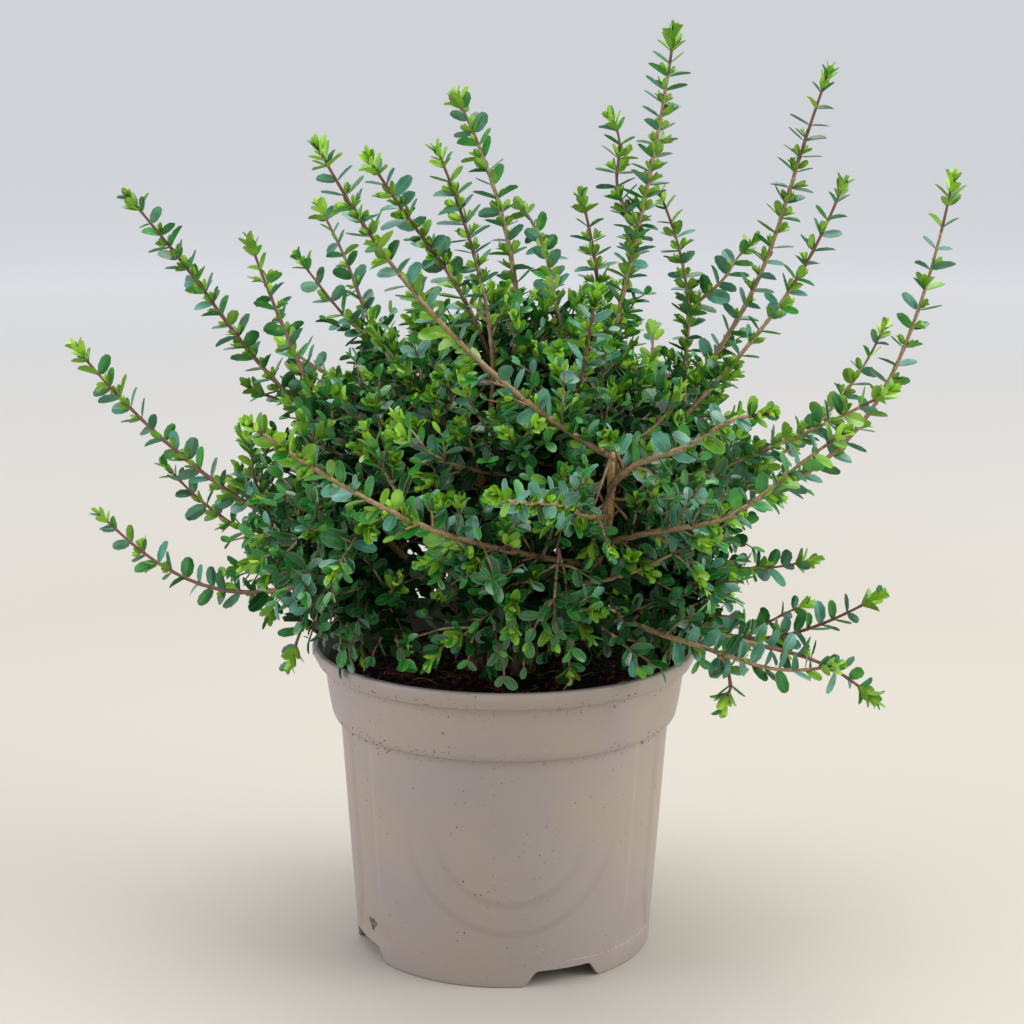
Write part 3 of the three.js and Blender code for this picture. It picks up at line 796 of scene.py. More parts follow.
@dataclass
class SourceDraws:
    """The seeded draws that shape the solids, made again in the same order."""

    state: int = 20

    def between(self, low: float, high: float) -> float:
        """The next draw, spread from low to high."""
        word = 0xFFFFFFFF
        self.state = (self.state + 0x6D2B79F5) & word
        mixed = (self.state ^ self.state >> 15) * (self.state | 1) & word
        mixed ^= (mixed + (mixed ^ mixed >> 7) * (mixed | 61)) & word
        return low + (high - low) * ((mixed ^ mixed >> 14) & word) / 2**32

    def spread(self, amount: float) -> float:
        """The next draw, from -amount to amount."""
        return self.between(-amount, amount)

    def skip(self, count: int) -> None:
        """Passes over draws that only roughen a solid's skin."""
        for _ in range(count):
            self.between(0, 1)


def node_corners(name: str) -> Array:
    """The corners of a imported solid, in millimetres."""
    mesh = frame["nodes"][name].data
    corners = np.empty(len(mesh.vertices) * 3, np.float32)
    mesh.vertices.foreach_get("co", corners)
    return corners.reshape(-1, 3).astype(float) / MM


@dataclass(frozen=True)
class Limb:
    """One woody limb: its line, and its radius at root and tip."""

    name: str
    path: Path
    radius: float
    tip_radius: float
    flare: float = 0.0
    bearing: float = 0.0


@dataclass
class WoodyFrame:
    """The four stems and eight boughs, on the lines of their solids, with peeling bark."""

    foot_height: float = 140.3
    stem_bearing: float = -55
    stem_count: int = 4
    foot_ring: float = 15
    upright: float = 8
    top_ring: float = 27
    top_height: float = 186
    stem_radii: Pair = (4.4, 3.2)
    flare: float = 2.6
    flare_share: float = 0.14
    bough_radii: Pair = (2.9, 2.0)
    crook: float = 2
    height_spread: float = 4
    # share of the stem that each bough leaves, turn from the stem's bearing, reach, height and bow
    low_bough: tuple[float, ...] = (0.8, -2, 76, 226, 4)
    front_bough: tuple[float, ...] = (0.8, -3, 91, 262, 14)
    high_bough: tuple[float, ...] = (0.97, 43, 38, 262, 2)
    strips: int = 30
    twist: float = 0.6
    relief: float = 0.34
    smooths: Pair = (0.25, 0.5)
    slender: float = 0.8
    sunk: float = 1.5

    stems: list[Limb] = field(default_factory=list)
    boughs: list[Limb] = field(default_factory=list)

    def grow(self, draws: SourceDraws) -> None:
        """Works out the lines of all limbs in the order of the source."""
        self.stems = [self.stem(k, draws) for k in range(self.stem_count)]
        for k, stem in enumerate(self.stems):
            low = self.low_bough if k else self.front_bough
            self.boughs.append(self.bough(f"bough_low_{k + 1}", stem, low, draws))
            self.boughs.append(self.bough(f"bough_high_{k + 1}", stem, self.high_bough, draws))

    def strayed(self, place: Array, draws: SourceDraws) -> Array:
        """The place with a small stray to the sides."""
        return place + [draws.spread(self.crook), draws.spread(self.crook), 0]

    def stem(self, k: int, draws: SourceDraws) -> Limb:
        """A stem stands upright on the compost and then leans outwards to its top."""
        bearing = self.stem_bearing + 360 * k / self.stem_count
        foot = polar(bearing, self.foot_ring, self.foot_height)
        top = polar(bearing, self.top_ring, self.top_height + draws.spread(self.height_spread))
        upright = foot + self.upright * UP
        knee = self.strayed((upright + top) / 2, draws)
        path = rounded_path(np.array([foot, upright, knee, top]))
        return Limb(f"stem_{k + 1}", path, *self.stem_radii, self.flare, bearing)

    def bough(self, name: str, stem: Limb, rule: tuple[float, ...], draws: SourceDraws) -> Limb:
        """A bough leaves its stem outwards and then turns up, bowed out and down from a straight line."""
        leaves, turn, reach, height, bow = rule
        root = stem.path.at(leaves)
        tip = polar(stem.bearing + turn, reach, height + draws.spread(self.height_spread))
        bowed = bow * (heading(stem.bearing + turn, 0) - UP)
        between = [self.strayed(root + share * (tip - root), draws) + bowed for share in (1 / 3, 2 / 3)]
        path = rounded_path(np.array([root, *between, tip]))
        return Limb(name, path, *self.bough_radii)

    def bark(self, limb: Limb, rings: int) -> bpy.types.Object:
        """Dresses one limb.

        Its radius is the taper plus the root flare, flare * exp(-share / flare_share), plus the
        relief of strips: stretched noise, squared off by tanh so that strips have edges, plus knots.
        A bough's strips give way to smooth tan bark over a part of its length, painted paler than its own tan as
        light falling on it.
        """
        share = np.linspace(0, 1, rings)
        centres = limb.path.at(share)
        taper = part_way((limb.radius, limb.tip_radius), share)
        taper = taper + limb.flare * np.exp(-share / self.flare_share)
        taper = taper * (1 if limb.flare else self.slender)
        angle = np.linspace(0, 2 * np.pi, self.strips, endpoint=False)
        turned = angle + self.twist * share[:, None]
        calm = 1 - 0.75 * ease(*self.smooths, share)[:, None] if not limb.flare else 1
        skin = polar(np.degrees(turned), 2.6, share[:, None] * limb.path.length / 9)
        seed = 11 + sum(map(ord, limb.name))
        strips = np.tanh(3 * lattice_noise(skin, seed))
        lumps = lattice_noise(skin * [0.4, 0.4, 1.6], seed + 1)
        radii = taper[:, None] + self.relief * (strips * calm + 0.5 * lumps)
        if limb.flare:
            centres[0] = centres[0] - self.sunk * UP
        draft = MeshDraft()
        young = (np.arange(rings - 1) / rings > np.mean(self.smooths)) & (not limb.flare)
        slot = np.repeat(young.astype(int), self.strips)
        draft.add_tubes(centres[None], radii[None], self.strips, slot)
        piece = draft.make(f"{limb.name}_bark", [OLD_BARK, BOUGH_BARK], crease=45)
        return install(piece, "bark", [limb.name])

    def dress(self) -> None:
        """Makes the bark of every limb."""
        for limb in [*self.stems, *self.boughs]:
            self.bark(limb, 2 + int(limb.path.length / 0.9))


# Twigs and leaves in batches


@dataclass
class Batch:
    """Arrays that run side by side, one entry for each twig or leaf."""

    def __len__(self) -> int:
        """How many entries there are."""
        return len(getattr(self, fields(self)[0].name))

    def take(self, chosen: Array) -> Any:
        """The chosen entries, as a batch of the same kind."""
        return type(self)(*(getattr(self, each.name)[chosen] for each in fields(self)))

    @classmethod
    def joined(cls, batches: list) -> Any:
        """All batches end to end."""
        columns = ([getattr(batch, each.name) for batch in batches] for each in fields(cls))
        return cls(*map(np.concatenate, columns))


@dataclass
class Leaves(Batch):
    """Leaves by root, direction of the midrib, direction that the upper face looks, and size."""

    root: Array
    along: Array
    face: Array
    length: Array
    width: Array
    age: Array


@dataclass
class Nodes(Batch):
    """The joints of twigs where leaves and side twigs stand: twig, share of it, and quarter turn."""

    owner: Array
    share: Array
    turn: Array
    to_tip: Array

    @property
    def axils(self) -> tuple[Array, Array, Array]:
        """Twig, share and turn of both sides of each node."""
        opposite = np.tile([0, np.pi], len(self))
        return np.repeat(self.owner, 2), np.repeat(self.share, 2), np.repeat(self.turn, 2) + opposite


# The share of a twig at which its last leaves stand, and the way that the camera looks
LAST_NODE = 0.985
AWAY = np.array([0, 1.0, 0])


@dataclass
class Twigs(Batch):
    """Twigs, each an arc from root to tip pulled towards its elbow, with a slight stray sideways.

    A point of a twig is (1-s)^2 root + 2s(1-s) elbow + s^2 tip + sin(3 pi s) stray.
    """

    root: Array
    elbow: Array
    tip: Array
    stray: Array
    radius: Array
    tip_radius: Array
    vigour: Array
    leafy_from: Array
    spacing: Array
    leaf: Array

    @classmethod
    def arching(cls, root: Array, tip: Array, sag: Array | float, **rest: Array) -> "Twigs":
        """Twigs that sag in the middle, square to the straight line from root to tip."""
        sag = np.broadcast_to(sag, len(root))[:, None]
        down = across(unit(tip - root), -UP)
        return cls(root, (root + tip) / 2 + 2 * sag * down, tip, **rest)

    def places(self, owner: Array, share: Array) -> Array:
        """Where these shares of these twigs lie."""
        s = share[..., None]
        arc = (1 - s) ** 2 * self.root[owner] + 2 * s * (1 - s) * self.elbow[owner] + s**2 * self.tip[owner]
        return arc + np.sin(3 * np.pi * s) * self.stray[owner]

    def every(self, shares: Array) -> Array:
        """The places at the same shares of every twig, (twigs, shares, 3)."""
        return self.places(np.arange(len(self))[:, None], shares)

    @property
    def lengths(self) -> Array:
        """How long each twig is."""
        return norm(np.diff(self.every(np.linspace(0, 1, 12)), axis=1), axis=2).sum(axis=1)

    @property
    def counts(self) -> Array:
        """How many steps from node to node each twig has."""
        return np.maximum(1, (self.lengths * (LAST_NODE - self.leafy_from) / self.spacing).astype(int))

    def nodes(self, rng: Random, flat: float = 0) -> Nodes:
        """Even nodes from where the leaves begin to the tip, each a quarter turn on from the last.

        With flat above 0 the pairs swing towards the plane of the picture, all the more on twigs that
        lie in that plane: each is then (1 - flat * sine to the line of sight) of a quarter turn on.
        """
        counts = self.counts + 1
        owner = np.repeat(np.arange(len(self)), counts)
        step = np.arange(len(owner)) - np.repeat(np.cumsum(counts) - counts, counts)
        along = step / (counts[owner] - 1)
        share = part_way((self.leafy_from[owner], LAST_NODE), along)
        turn = rng.uniform(0, np.pi, len(self))[owner]
        quarter = np.pi / 2
        if flat:
            ahead, level, rise = self.compass(owner, share)
            broad = np.cross(ahead, AWAY)
            quarter = np.pi / 2 * (1 - flat * norm(broad, axis=1))
            turn = np.arctan2(np.sum(broad * rise, axis=1), np.sum(broad * level, axis=1)) - quarter / 2
        turn = turn + (step % 2) * quarter + rng.normal(0, 0.22, len(owner))
        return Nodes(owner, share, turn, counts[owner] - 1 - step)

    def compass(self, owner: Array, share: Array) -> tuple[Array, Array, Array]:
        """Which way these twigs run at these shares, the level way across them and the rising one."""
        step = 0.01
        along = unit(self.places(owner, share + step) - self.places(owner, share - step))
        return along, *square_to(along)

    def spokes(self, owner: Array, share: Array, turn: Array) -> tuple[Array, Array, Array]:
        """Place, direction of the twig and direction out from it, turned about it from level."""
        along, level, rise = self.compass(owner, share)
        return self.places(owner, share), along, swung(level, rise, turn)


# Heights between which growth passes from hanging to upright, and the middle of the crown
CROWN = (185, 275)
HEART = np.array([0, 0, 200.0])
# reach round the middle of the crown within which leaves count as deep in it, and are painted darker as shade
HEART_DEPTH = 122


@dataclass(frozen=True)
class LeafHabit:
    """How leaves stand on a twig: lean from it in degrees, and how far they turn up to the light."""

    lean: float = 60
    tip_lean: float = 32
    lean_spread: float = 9
    rib_spread: float = 0.07
    face_spread: float = 0.12
    light: float = 0.9
    lift: float = 0.12
    tip_size: float = 0.6
    size_spread: float = 0.1
    slimness: float = 0.6
    outward: float = 0.55
    roll: Pair = (0.3, 0.2)
    # what youth gains from root to tip, with vigour and over the last three nodes
    youth: tuple[float, float, float] = (0.29, 0.53, 0.25)
    youth_spread: float = 0.09
    # share of old leaves in the open that turn blue-green, partly weathered and partly a painted sheen of the
    # sky
    weathered: float = 0.16

    def pairs(self, twigs: Twigs, nodes: Nodes, rng: Random) -> Leaves:
        """Two leaves at each node, opposite each other.

        A midrib runs at lean from the twig, and lift turns it up where the twig lies level. The
        upper face looks towards the twig's tip, turned to the sky by light and out of the crown by
        outward, and then rolls about the midrib, the further the more level the twig lies. Leaves
        shrink and stand steeper over the last three nodes. Youth grows from root to tip and with
        vigour, and falls with depth in the crown, where the darkest green is painted shade. Some
        old leaves in the open turn blue-green, partly weathered and partly as a painted sheen of the sky.
        """
        owner, share, turn = nodes.axils
        count = len(owner)
        near_tip = np.repeat(np.clip(1 - nodes.to_tip / 3, 0, 1), 2)
        place, along, out = twigs.spokes(owner, share, turn)
        lean = part_way((self.lean, self.tip_lean), near_tip) + rng.normal(0, self.lean_spread, count)
        level = 1 - along[:, 2:] ** 2
        rib = swung(along, out, np.radians(lean)) + self.lift * level * UP
        rib = unit(rib + rng.normal(0, self.rib_spread, rib.shape))
        away = unit(place - HEART)
        face = along + self.light * UP + self.outward * away
        face = across(rib, face + rng.normal(0, self.face_spread, rib.shape))
        roll = rng.normal(0, 1, (count, 1)) * (self.roll[0] + self.roll[1] * level)
        face = swung(face, np.cross(rib, face), roll)
        length = twigs.leaf[owner] * (1 - (1 - self.tip_size) * near_tip)
        length = length * rng.normal(1, self.size_spread, count)
        depth = np.clip(1 - norm(place - HEART, axis=1) / HEART_DEPTH, 0, 1)
        by_share, by_vigour, by_tip = self.youth
        # youth falls with depth, so leaves deep in the crown take the shaded green: painted shade
        youth = by_share * share + by_vigour * twigs.vigour[owner] + by_tip * near_tip - 1.1 * depth
        age = np.digitize(youth + rng.normal(0, self.youth_spread, count), AGE_STEPS)
        # near the crown's skin no leaf is painted as shade
        age = np.maximum(age, np.where(depth < 0.12, Age.MATURE.number, 0))
        # some old leaves in the open take the blue-green that is partly weathering and partly a painted sheen of
        # the sky
        weathered_and_sheened = (rng.random(count) < self.weathered) & (depth < 0.1) & (age <= Age.SUMMER.number)
        age[weathered_and_sheened] = Age.WEATHERED.number
        start = place + rib * twigs.radius[owner][:, None] * 0.4
        return Leaves(start, rib, face, length, length * self.slimness * rng.normal(1, 0.07, count), age)


# Youth at which leaves pass from the darkest, shaded green, which is painted shade, to mature, to summer, to
# fresh and to bud green
AGE_STEPS = (0.3, 0.6, 0.9, 1.25)


@dataclass(frozen=True)
class BudHabit:
    """The tuft at a growing tip: small leaves in pairs, the inner ones shorter and more upright."""

    pairs: int = 4
    lean: Pair = (36, 9)
    length: Pair = (8.4, 5.6)
    step: float = 2.5
    slimness: float = 0.5
    opening: Pair = (0.8, 1.2)
    rib_spread: float = 0.08
    face_spread: float = 0.2

    def tufts(
        self, twigs: Twigs, owner: Array, share: Array, size: Array, age: Array, rng: Random
    ) -> Leaves:
        """A tuft that ends at each of these shares of these twigs, of these sizes and ages.

        The pairs of each tuft lean by a share of the habit's lean that is drawn between its openings.
        """
        batches = []
        opened = rng.uniform(*self.opening, len(owner))
        turn = rng.uniform(0, np.pi, len(owner))
        back = self.step * size / twigs.lengths[owner]
        last = self.pairs - 1
        for k in range(self.pairs):
            inward = k / last
            lean = np.radians(part_way(self.lean, inward)) * opened
            length = part_way(self.length, inward)
            at = np.maximum(share - (last - k) * back, 0)
            for opposite in (0, np.pi):
                place, along, out = twigs.spokes(owner, at, turn + k * np.pi / 2 + opposite)
                rib = unit(swung(along, out, lean) + rng.normal(0, self.rib_spread, place.shape))
                face = across(rib, along - out + rng.normal(0, self.face_spread, place.shape))
                long = length * size * rng.normal(1, 0.1, len(owner))
                aged = np.minimum(age, Age.BUD.number - (k == 0))
                batches.append(Leaves(place, rib, face, long, long * self.slimness, aged))
        return Leaves.joined(batches)


@dataclass(frozen=True)
class SideHabit:
    """How twigs stand in the axils of leaves, in degrees and millimetres.

    They are length long at the root of the twig that carries them and shorter by loss at its tip,
    lean from it, and turn up to the light by lift, which goes from low in the crown to high in it.
    """

    length: float
    loss: float
    lean: float
    lift: Pair
    leaf: Pair
    spacing: float
    # how much twigs differ in lean and way, and between which shares in length and spacing
    lean_spread: float = 9
    way_spread: float = 0.08
    lengths: Pair = (0.75, 1.25)
    spacings: Pair = (0.85, 1.15)
    # how far twigs bow upwards, as a share of their length
    bow: float = 0.06
    tip_radius: float = 0.32
    leafy_from: float = 0.16

    def twigs(self, twigs: Twigs, nodes: Nodes, chance: float | Array, rng: Random) -> Twigs:
        """The side twigs at these nodes, where chance is the share of axils that hold one."""
        owner, share, turn = nodes.axils
        kept = rng.random(len(owner)) < np.broadcast_to(chance, len(twigs))[owner]
        owner, share, turn = owner[kept], share[kept], turn[kept]
        count = len(owner)
        place, along, out = twigs.spokes(owner, share, turn)
        angle = np.radians(self.lean + rng.normal(0, self.lean_spread, count))
        up = part_way(self.lift, ease(*CROWN, place[:, 2:]))
        way = unit(swung(along, out, angle) + up * UP + rng.normal(0, self.way_spread, along.shape))
        long = (self.length - self.loss * share) * rng.uniform(*self.lengths, count)
        return Twigs.arching(
            place,
            place + way * long[:, None],
            -self.bow * long,
            stray=rng.normal(0, 0.012, (count, 3)) * long[:, None],
            radius=np.minimum(0.75 * twigs.radius[owner], 0.45 + 0.012 * long),
            tip_radius=np.full(count, self.tip_radius),
            vigour=np.clip(twigs.vigour[owner] * 0.55 + 0.5 * rng.random(count), 0, 1),
            leafy_from=np.full(count, self.leafy_from),
            spacing=self.spacing * rng.uniform(*self.spacings, count),
            leaf=rng.uniform(*self.leaf, count),
        )


# Leaf meshes


@dataclass(frozen=True)
class LeafShape:
    """A thin closed leaf, 1 long and 1 wide, that lies along +X and looks to +Z.

    Its half width is the superellipse (1 - |2s-1|^n)^(1/n) / 2, drawn in by narrowing at the root.
    The midrib arches down by curl * s^2, and the edges rise from it by fold times the half width.
    The underside lies its thickness below the midrib and meets the upper face in the edges.
    """

    curl: float
    fold: float
    roundness: float = 2.25
    narrowing: float = 0.16
    thickness: float = 0.035
    # the trait that tells how far a corner lies from the midrib, 0, to the edge, 1
    OUTWARD = "outward"

    @staticmethod
    def outward(stations: int) -> Array:
        """The outward trait of each corner, in the order of corners."""
        return np.array([1, 1] + [1, 1, 0, 0] * stations)

    def corners(self, stations: tuple[float, ...]) -> Array:
        """Root and tip, and then for each station its left and right edge and both midribs."""
        share = np.array(stations)
        half = (1 - np.abs(2 * share - 1) ** self.roundness) ** (1 / self.roundness) / 2
        half = half * (1 - self.narrowing * (1 - share) ** 2)
        drop = -self.curl * share**2
        raised = drop + self.fold * half
        thick = self.thickness * np.sqrt(np.sin(np.pi * share))
        middle = 0 * share
        rows = ((half, raised), (-half, raised), (middle, drop), (middle, drop - thick))
        rows = np.stack([np.stack([share, aside, above], -1) for aside, above in rows], 1)
        return np.concatenate([[[0, 0, 0], [1, 0, -self.curl]], rows.reshape(-1, 3)])

    @staticmethod
    def faces(stations: int) -> tuple[Array, Array, Array, Array]:
        """The upper face's quads and triangles, and the underside's."""
        first = 2 + 4 * np.arange(stations - 1)
        left, right, rib, under = first, first + 1, first + 2, first + 3
        edges = ((rib, left), (right, rib), (left, under), (under, right))
        quads = [np.stack([one, one + 4, two + 4, two], -1) for one, two in edges]
        end = 2 + 4 * (stations - 1)
        tips = np.array([[0, 4, 2], [0, 3, 4], [end + 2, 1, end], [end + 1, 1, end + 2]])
        tips_below = np.array([[0, 2, 5], [0, 5, 3], [end + 3, end, 1], [end + 1, end + 3, 1]])
        return np.concatenate(quads[:2]), tips, np.concatenate(quads[2:]), tips_below


LEAF_SHAPES = (LeafShape(0.05, 0.16), LeafShape(0.12, 0.08), LeafShape(0.18, 0.24), LeafShape(-0.05, 0.12))

# Where along its length a leaf has corners: fewer on a bud's small leaves, and deep in the shade
STATIONS = (0.07, 0.31, 0.69, 0.94)
BUD_STATIONS = (0.12, 0.5, 0.88)
SHADED_STATIONS = (0.2, 0.8)


@dataclass
class Foliage:
    """All leaves of the plant, made into pieces by age."""

    batches: list[Leaves] = field(default_factory=list)
    most_triangles: int = 190_000
    seed: int = 5

    def make(self, nodes: list[str]) -> None:
        """Makes pieces of each age, each under the most triangles that a piece may have."""
        leaves = Leaves.joined(self.batches)
        for age in Age:
            chosen = np.flatnonzero(leaves.age == age.number)
            pieces = max(1, math.ceil(len(chosen) * (8 * len(age.stations)) / self.most_triangles))
            for k, part in enumerate(np.array_split(chosen, pieces)):
                self.piece(f"leaves_{age.label}_{k + 1}", age, leaves.take(part), nodes)

    def piece(self, name: str, age: Age, leaves: Leaves, nodes: list[str]) -> None:
        """One piece: a leaf's corner is root + x length along + y width across + z length face."""
        rng = np.random.default_rng(self.seed)
        stations = len(age.stations)
        shapes = np.stack([shape.corners(age.stations) for shape in LEAF_SHAPES])
        chosen = shapes[rng.integers(0, len(shapes), len(leaves))]
        sizes = np.stack([leaves.length, leaves.width, leaves.length], 1)[..., None]
        ways = np.stack([leaves.along, np.cross(leaves.face, leaves.along), leaves.face], 1)
        corners = leaves.root[:, None] + chosen @ (sizes * ways)
        faces = (repeated(part, *corners.shape[:2]) for part in LeafShape.faces(stations))
        upper, upper_tips, lower, lower_tips = faces
        draft = MeshDraft(traits={LeafShape.OUTWARD: np.tile(LeafShape.outward(stations), len(leaves))})
        draft.add(corners, upper, upper_tips)
        draft.faces += [(part, np.ones(len(part), int)) for part in (lower, lower_tips)]
        install(draft.make(name, age.faces, crease=26), age.slot, nodes)


@dataclass
class TwigWood:
    """The wood of twigs: tubes with a swelling at each node, tan near the root and wine red above."""

    name: str
    sides: int
    rings: int
    swell: float

    def make(self, twigs: Twigs, tan: Array | float, nodes: list[str]) -> None:
        """Radius is the taper times 1 + swell * exp(-(distance to the nearest node / 1 mm)^2).

        Bark is tan up to the share tan of each twig's length, and nodes are what the piece replaces.
        """
        share = np.linspace(0, 1, self.rings)
        first = twigs.leafy_from[:, None]
        step = (share - first) / (LAST_NODE - first) * twigs.counts[:, None]
        off_node = np.abs(step - np.round(step)) * twigs.spacing[:, None]
        swelling = 1 + self.swell * np.exp(-(off_node**2)) * (step > -0.2)
        taper = part_way((twigs.radius[:, None], twigs.tip_radius[:, None]), share)
        corners = tube_corners(twigs.every(share), taper * swelling, self.sides)
        faces = tube_faces(self.rings, self.sides)
        quads, caps = (repeated(part, *corners.shape[:2]) for part in faces)
        ring = np.arange(self.rings - 1)
        young = ring >= np.broadcast_to(tan, len(twigs))[:, None] * (self.rings - 1)
        draft = MeshDraft()
        draft.add(corners, quads, slot=np.repeat(young.astype(int), self.sides))
        draft.faces.append((caps, np.ones(len(caps), int)))
        install(draft.make(self.name, [TAN_BARK, WINE_BARK], crease=60), "bark", nodes)


# The plant


@dataclass
class Dome:
    """The space that the dense foliage fills, and how far out of its middle a place lies."""

    radius: float = 136
    height: float = 98
    middle: float = 222

    def level(self, places: Array) -> Array:
        """1 on the dome's skin: hypot of the flat distance and the height, each over its own size."""
        flat = np.hypot(places[..., 0], places[..., 1]) / self.radius
        return np.hypot(flat, (places[..., 2] - self.middle) / self.height)

    def out_to(self, start: Array, way: Array, level: Array) -> Array:
        """How far from start along way the dome's level is reached, found by steps of 1 mm."""
        steps = np.arange(1, 150)[:, None]
        walked = self.level(start[:, None] + way[:, None] * steps)
        return 1 + np.argmax(walked >= level[:, None], axis=1)


@dataclass(frozen=True)
class ShootRow:
    """A long shoot: where its tip lies from the middle of the crown, its sag and its dress.

    Vigour makes its leaves young, growing is the share of axils that hold a tuft, and its bark is
    tan up to a share of its length. A shorter shoot leaves the long shoot with the number parent at
    a part of its length.
    """

    bearing: float
    rise: float
    reach: float
    sag: float
    spacing: float = 8.0
    vigour: float = 0.5
    growing: float = 0.6
    tan: float = 0.6
    parent: int = 0
    part: float = 0


SHOWN_SHOOTS = tuple(ShootRow(*row) for row in (
    (10.4, 72, 263, 6, 6.4, 0.45, 0.95, 0.9),
    (31, 63, 194, 38, 6.6, 0.5, 0.95, 0.9),
    (7, 56, 279, 12, 7.6, 0.45, 0.6, 0.8),
    (0, 48, 242, 18, 7.6, 0.4, 0.5, 0.75),
    (0, 40.6, 281, 52, 9.4, 0.6, 0.6, 0.9),
    (20, 26, 232, 26, 7.6, 0.5, 0.5, 0.9),
    (-19, 25, 209, 4, 7.6, 0.5, 0.6, 0.9),
    (-46, 22, 224, 10, 7.8, 0.5, 0.5, 0.9),
    (-58, 25, 227, -4, 7.8, 0.5, 0.5, 0.9),
    (-6, -6, 187, 36, 6.6, 0.25, 0.4, 0.5),
    (-41, -7, 198, 14, 6.4, 0.25, 0.3, 0.9),
    (-19, -18, 196, -8, 6.6, 0.25, 0.3, 0.6),
    (107, 67, 236, -18, 7.2, 0.5, 0.8, 0.8),
    (-142, 78, 200, -18, 6.8, 0.6, 0.9, 0.7),
    (-145, 68, 207, -8, 6.8, 0.7, 0.9, 0.6),
    (-125, 55, 245, 14, 6.8, 0.7, 0.8, 0.75),
    (131, 46, 220, 0, 7.4, 0.3, 0.5, 0.5),
    (161, 47, 201, 4, 7.4, 0.5, 0.7, 0.15),
    (178, 43, 251, 8, 7, 0.45, 0.85, 0.55),
    (171, 23, 238, 20, 7.6, 0.55, 0.7, 0.4),
    (-121, 24, 225, 12, 7.4, 0.9, 0.6, 0.95),
    (174, 3, 207, 36, 8.4, 0.3, 0.4, 0.4),
    (159, 8, 194, 36, 8, 0.35, 0.5, 0.5),
    (180, -30, 126, -12, 8, 0.25, 0.3, 0.5),
    (85, 65, 179, -20, 7, 0.6, 0.9, 0.7),
    (53, 70, 181, -4, 7, 0.6, 0.9, 0.7),
    (-66, 54, 169, 0, 7.2, 0.5, 0.8, 0.6),
    (-91, 18, 223, 0, 8, 0.5, 0.7, 0.9),
))

# Shorter shoots of the photograph that the solids leave out
FINE_SHOOTS = tuple(ShootRow(*row) for row in (
    (16, 76, 216, 0, 6.6, 0.7, 0.8, 0.5, 1, 0.55),
    (23, 47, 199, 0, 7, 0.4, 0.5, 0.9, 2, 0.68),
    (11, -5, 161, 3, 6.4, 0.2, 0.3, 0.4, 10, 0.11),
    (8, -13, 160, 4, 6.4, 0.3, 0.4, 0.4, 10, 0.42),
    (-44, -21, 151, -4, 6.2, 0.2, 0.3, 0.3, 11, 0.57),
    (153, 49, 180, 2, 7.4, 0.3, 0.5, 0.5, 17, 0.42),
    (170, 30, 151, 2, 7, 0.4, 0.6, 0.4, 19, 0.44),
    (-175, 24, 139, 3, 7, 0.7, 0.8, 0.4, 20, 0.4),
    (-162, 71, 139, -3, 6.6, 0.6, 0.9, 0.7, 17, 0.01),
    (-85, -16, 80, 4, 8, 0.3, 0.4, 0.9, 20, 0),
    (-69, -27, 102, -4, 7, 0.3, 0.4, 0.9, 12, 0),
    (-62, 16, 99, 0, 4.6, 0.1, 0.3, 0.9, 9, 0.02),
    (-66, 9, 95, 0, 5, 0.1, 0.3, 0.9, 9, 0),
))


def column(rows: Iterable[ShootRow], name: str) -> Array:
    """One value of each row."""
    return np.array([getattr(row, name) for row in rows], float)


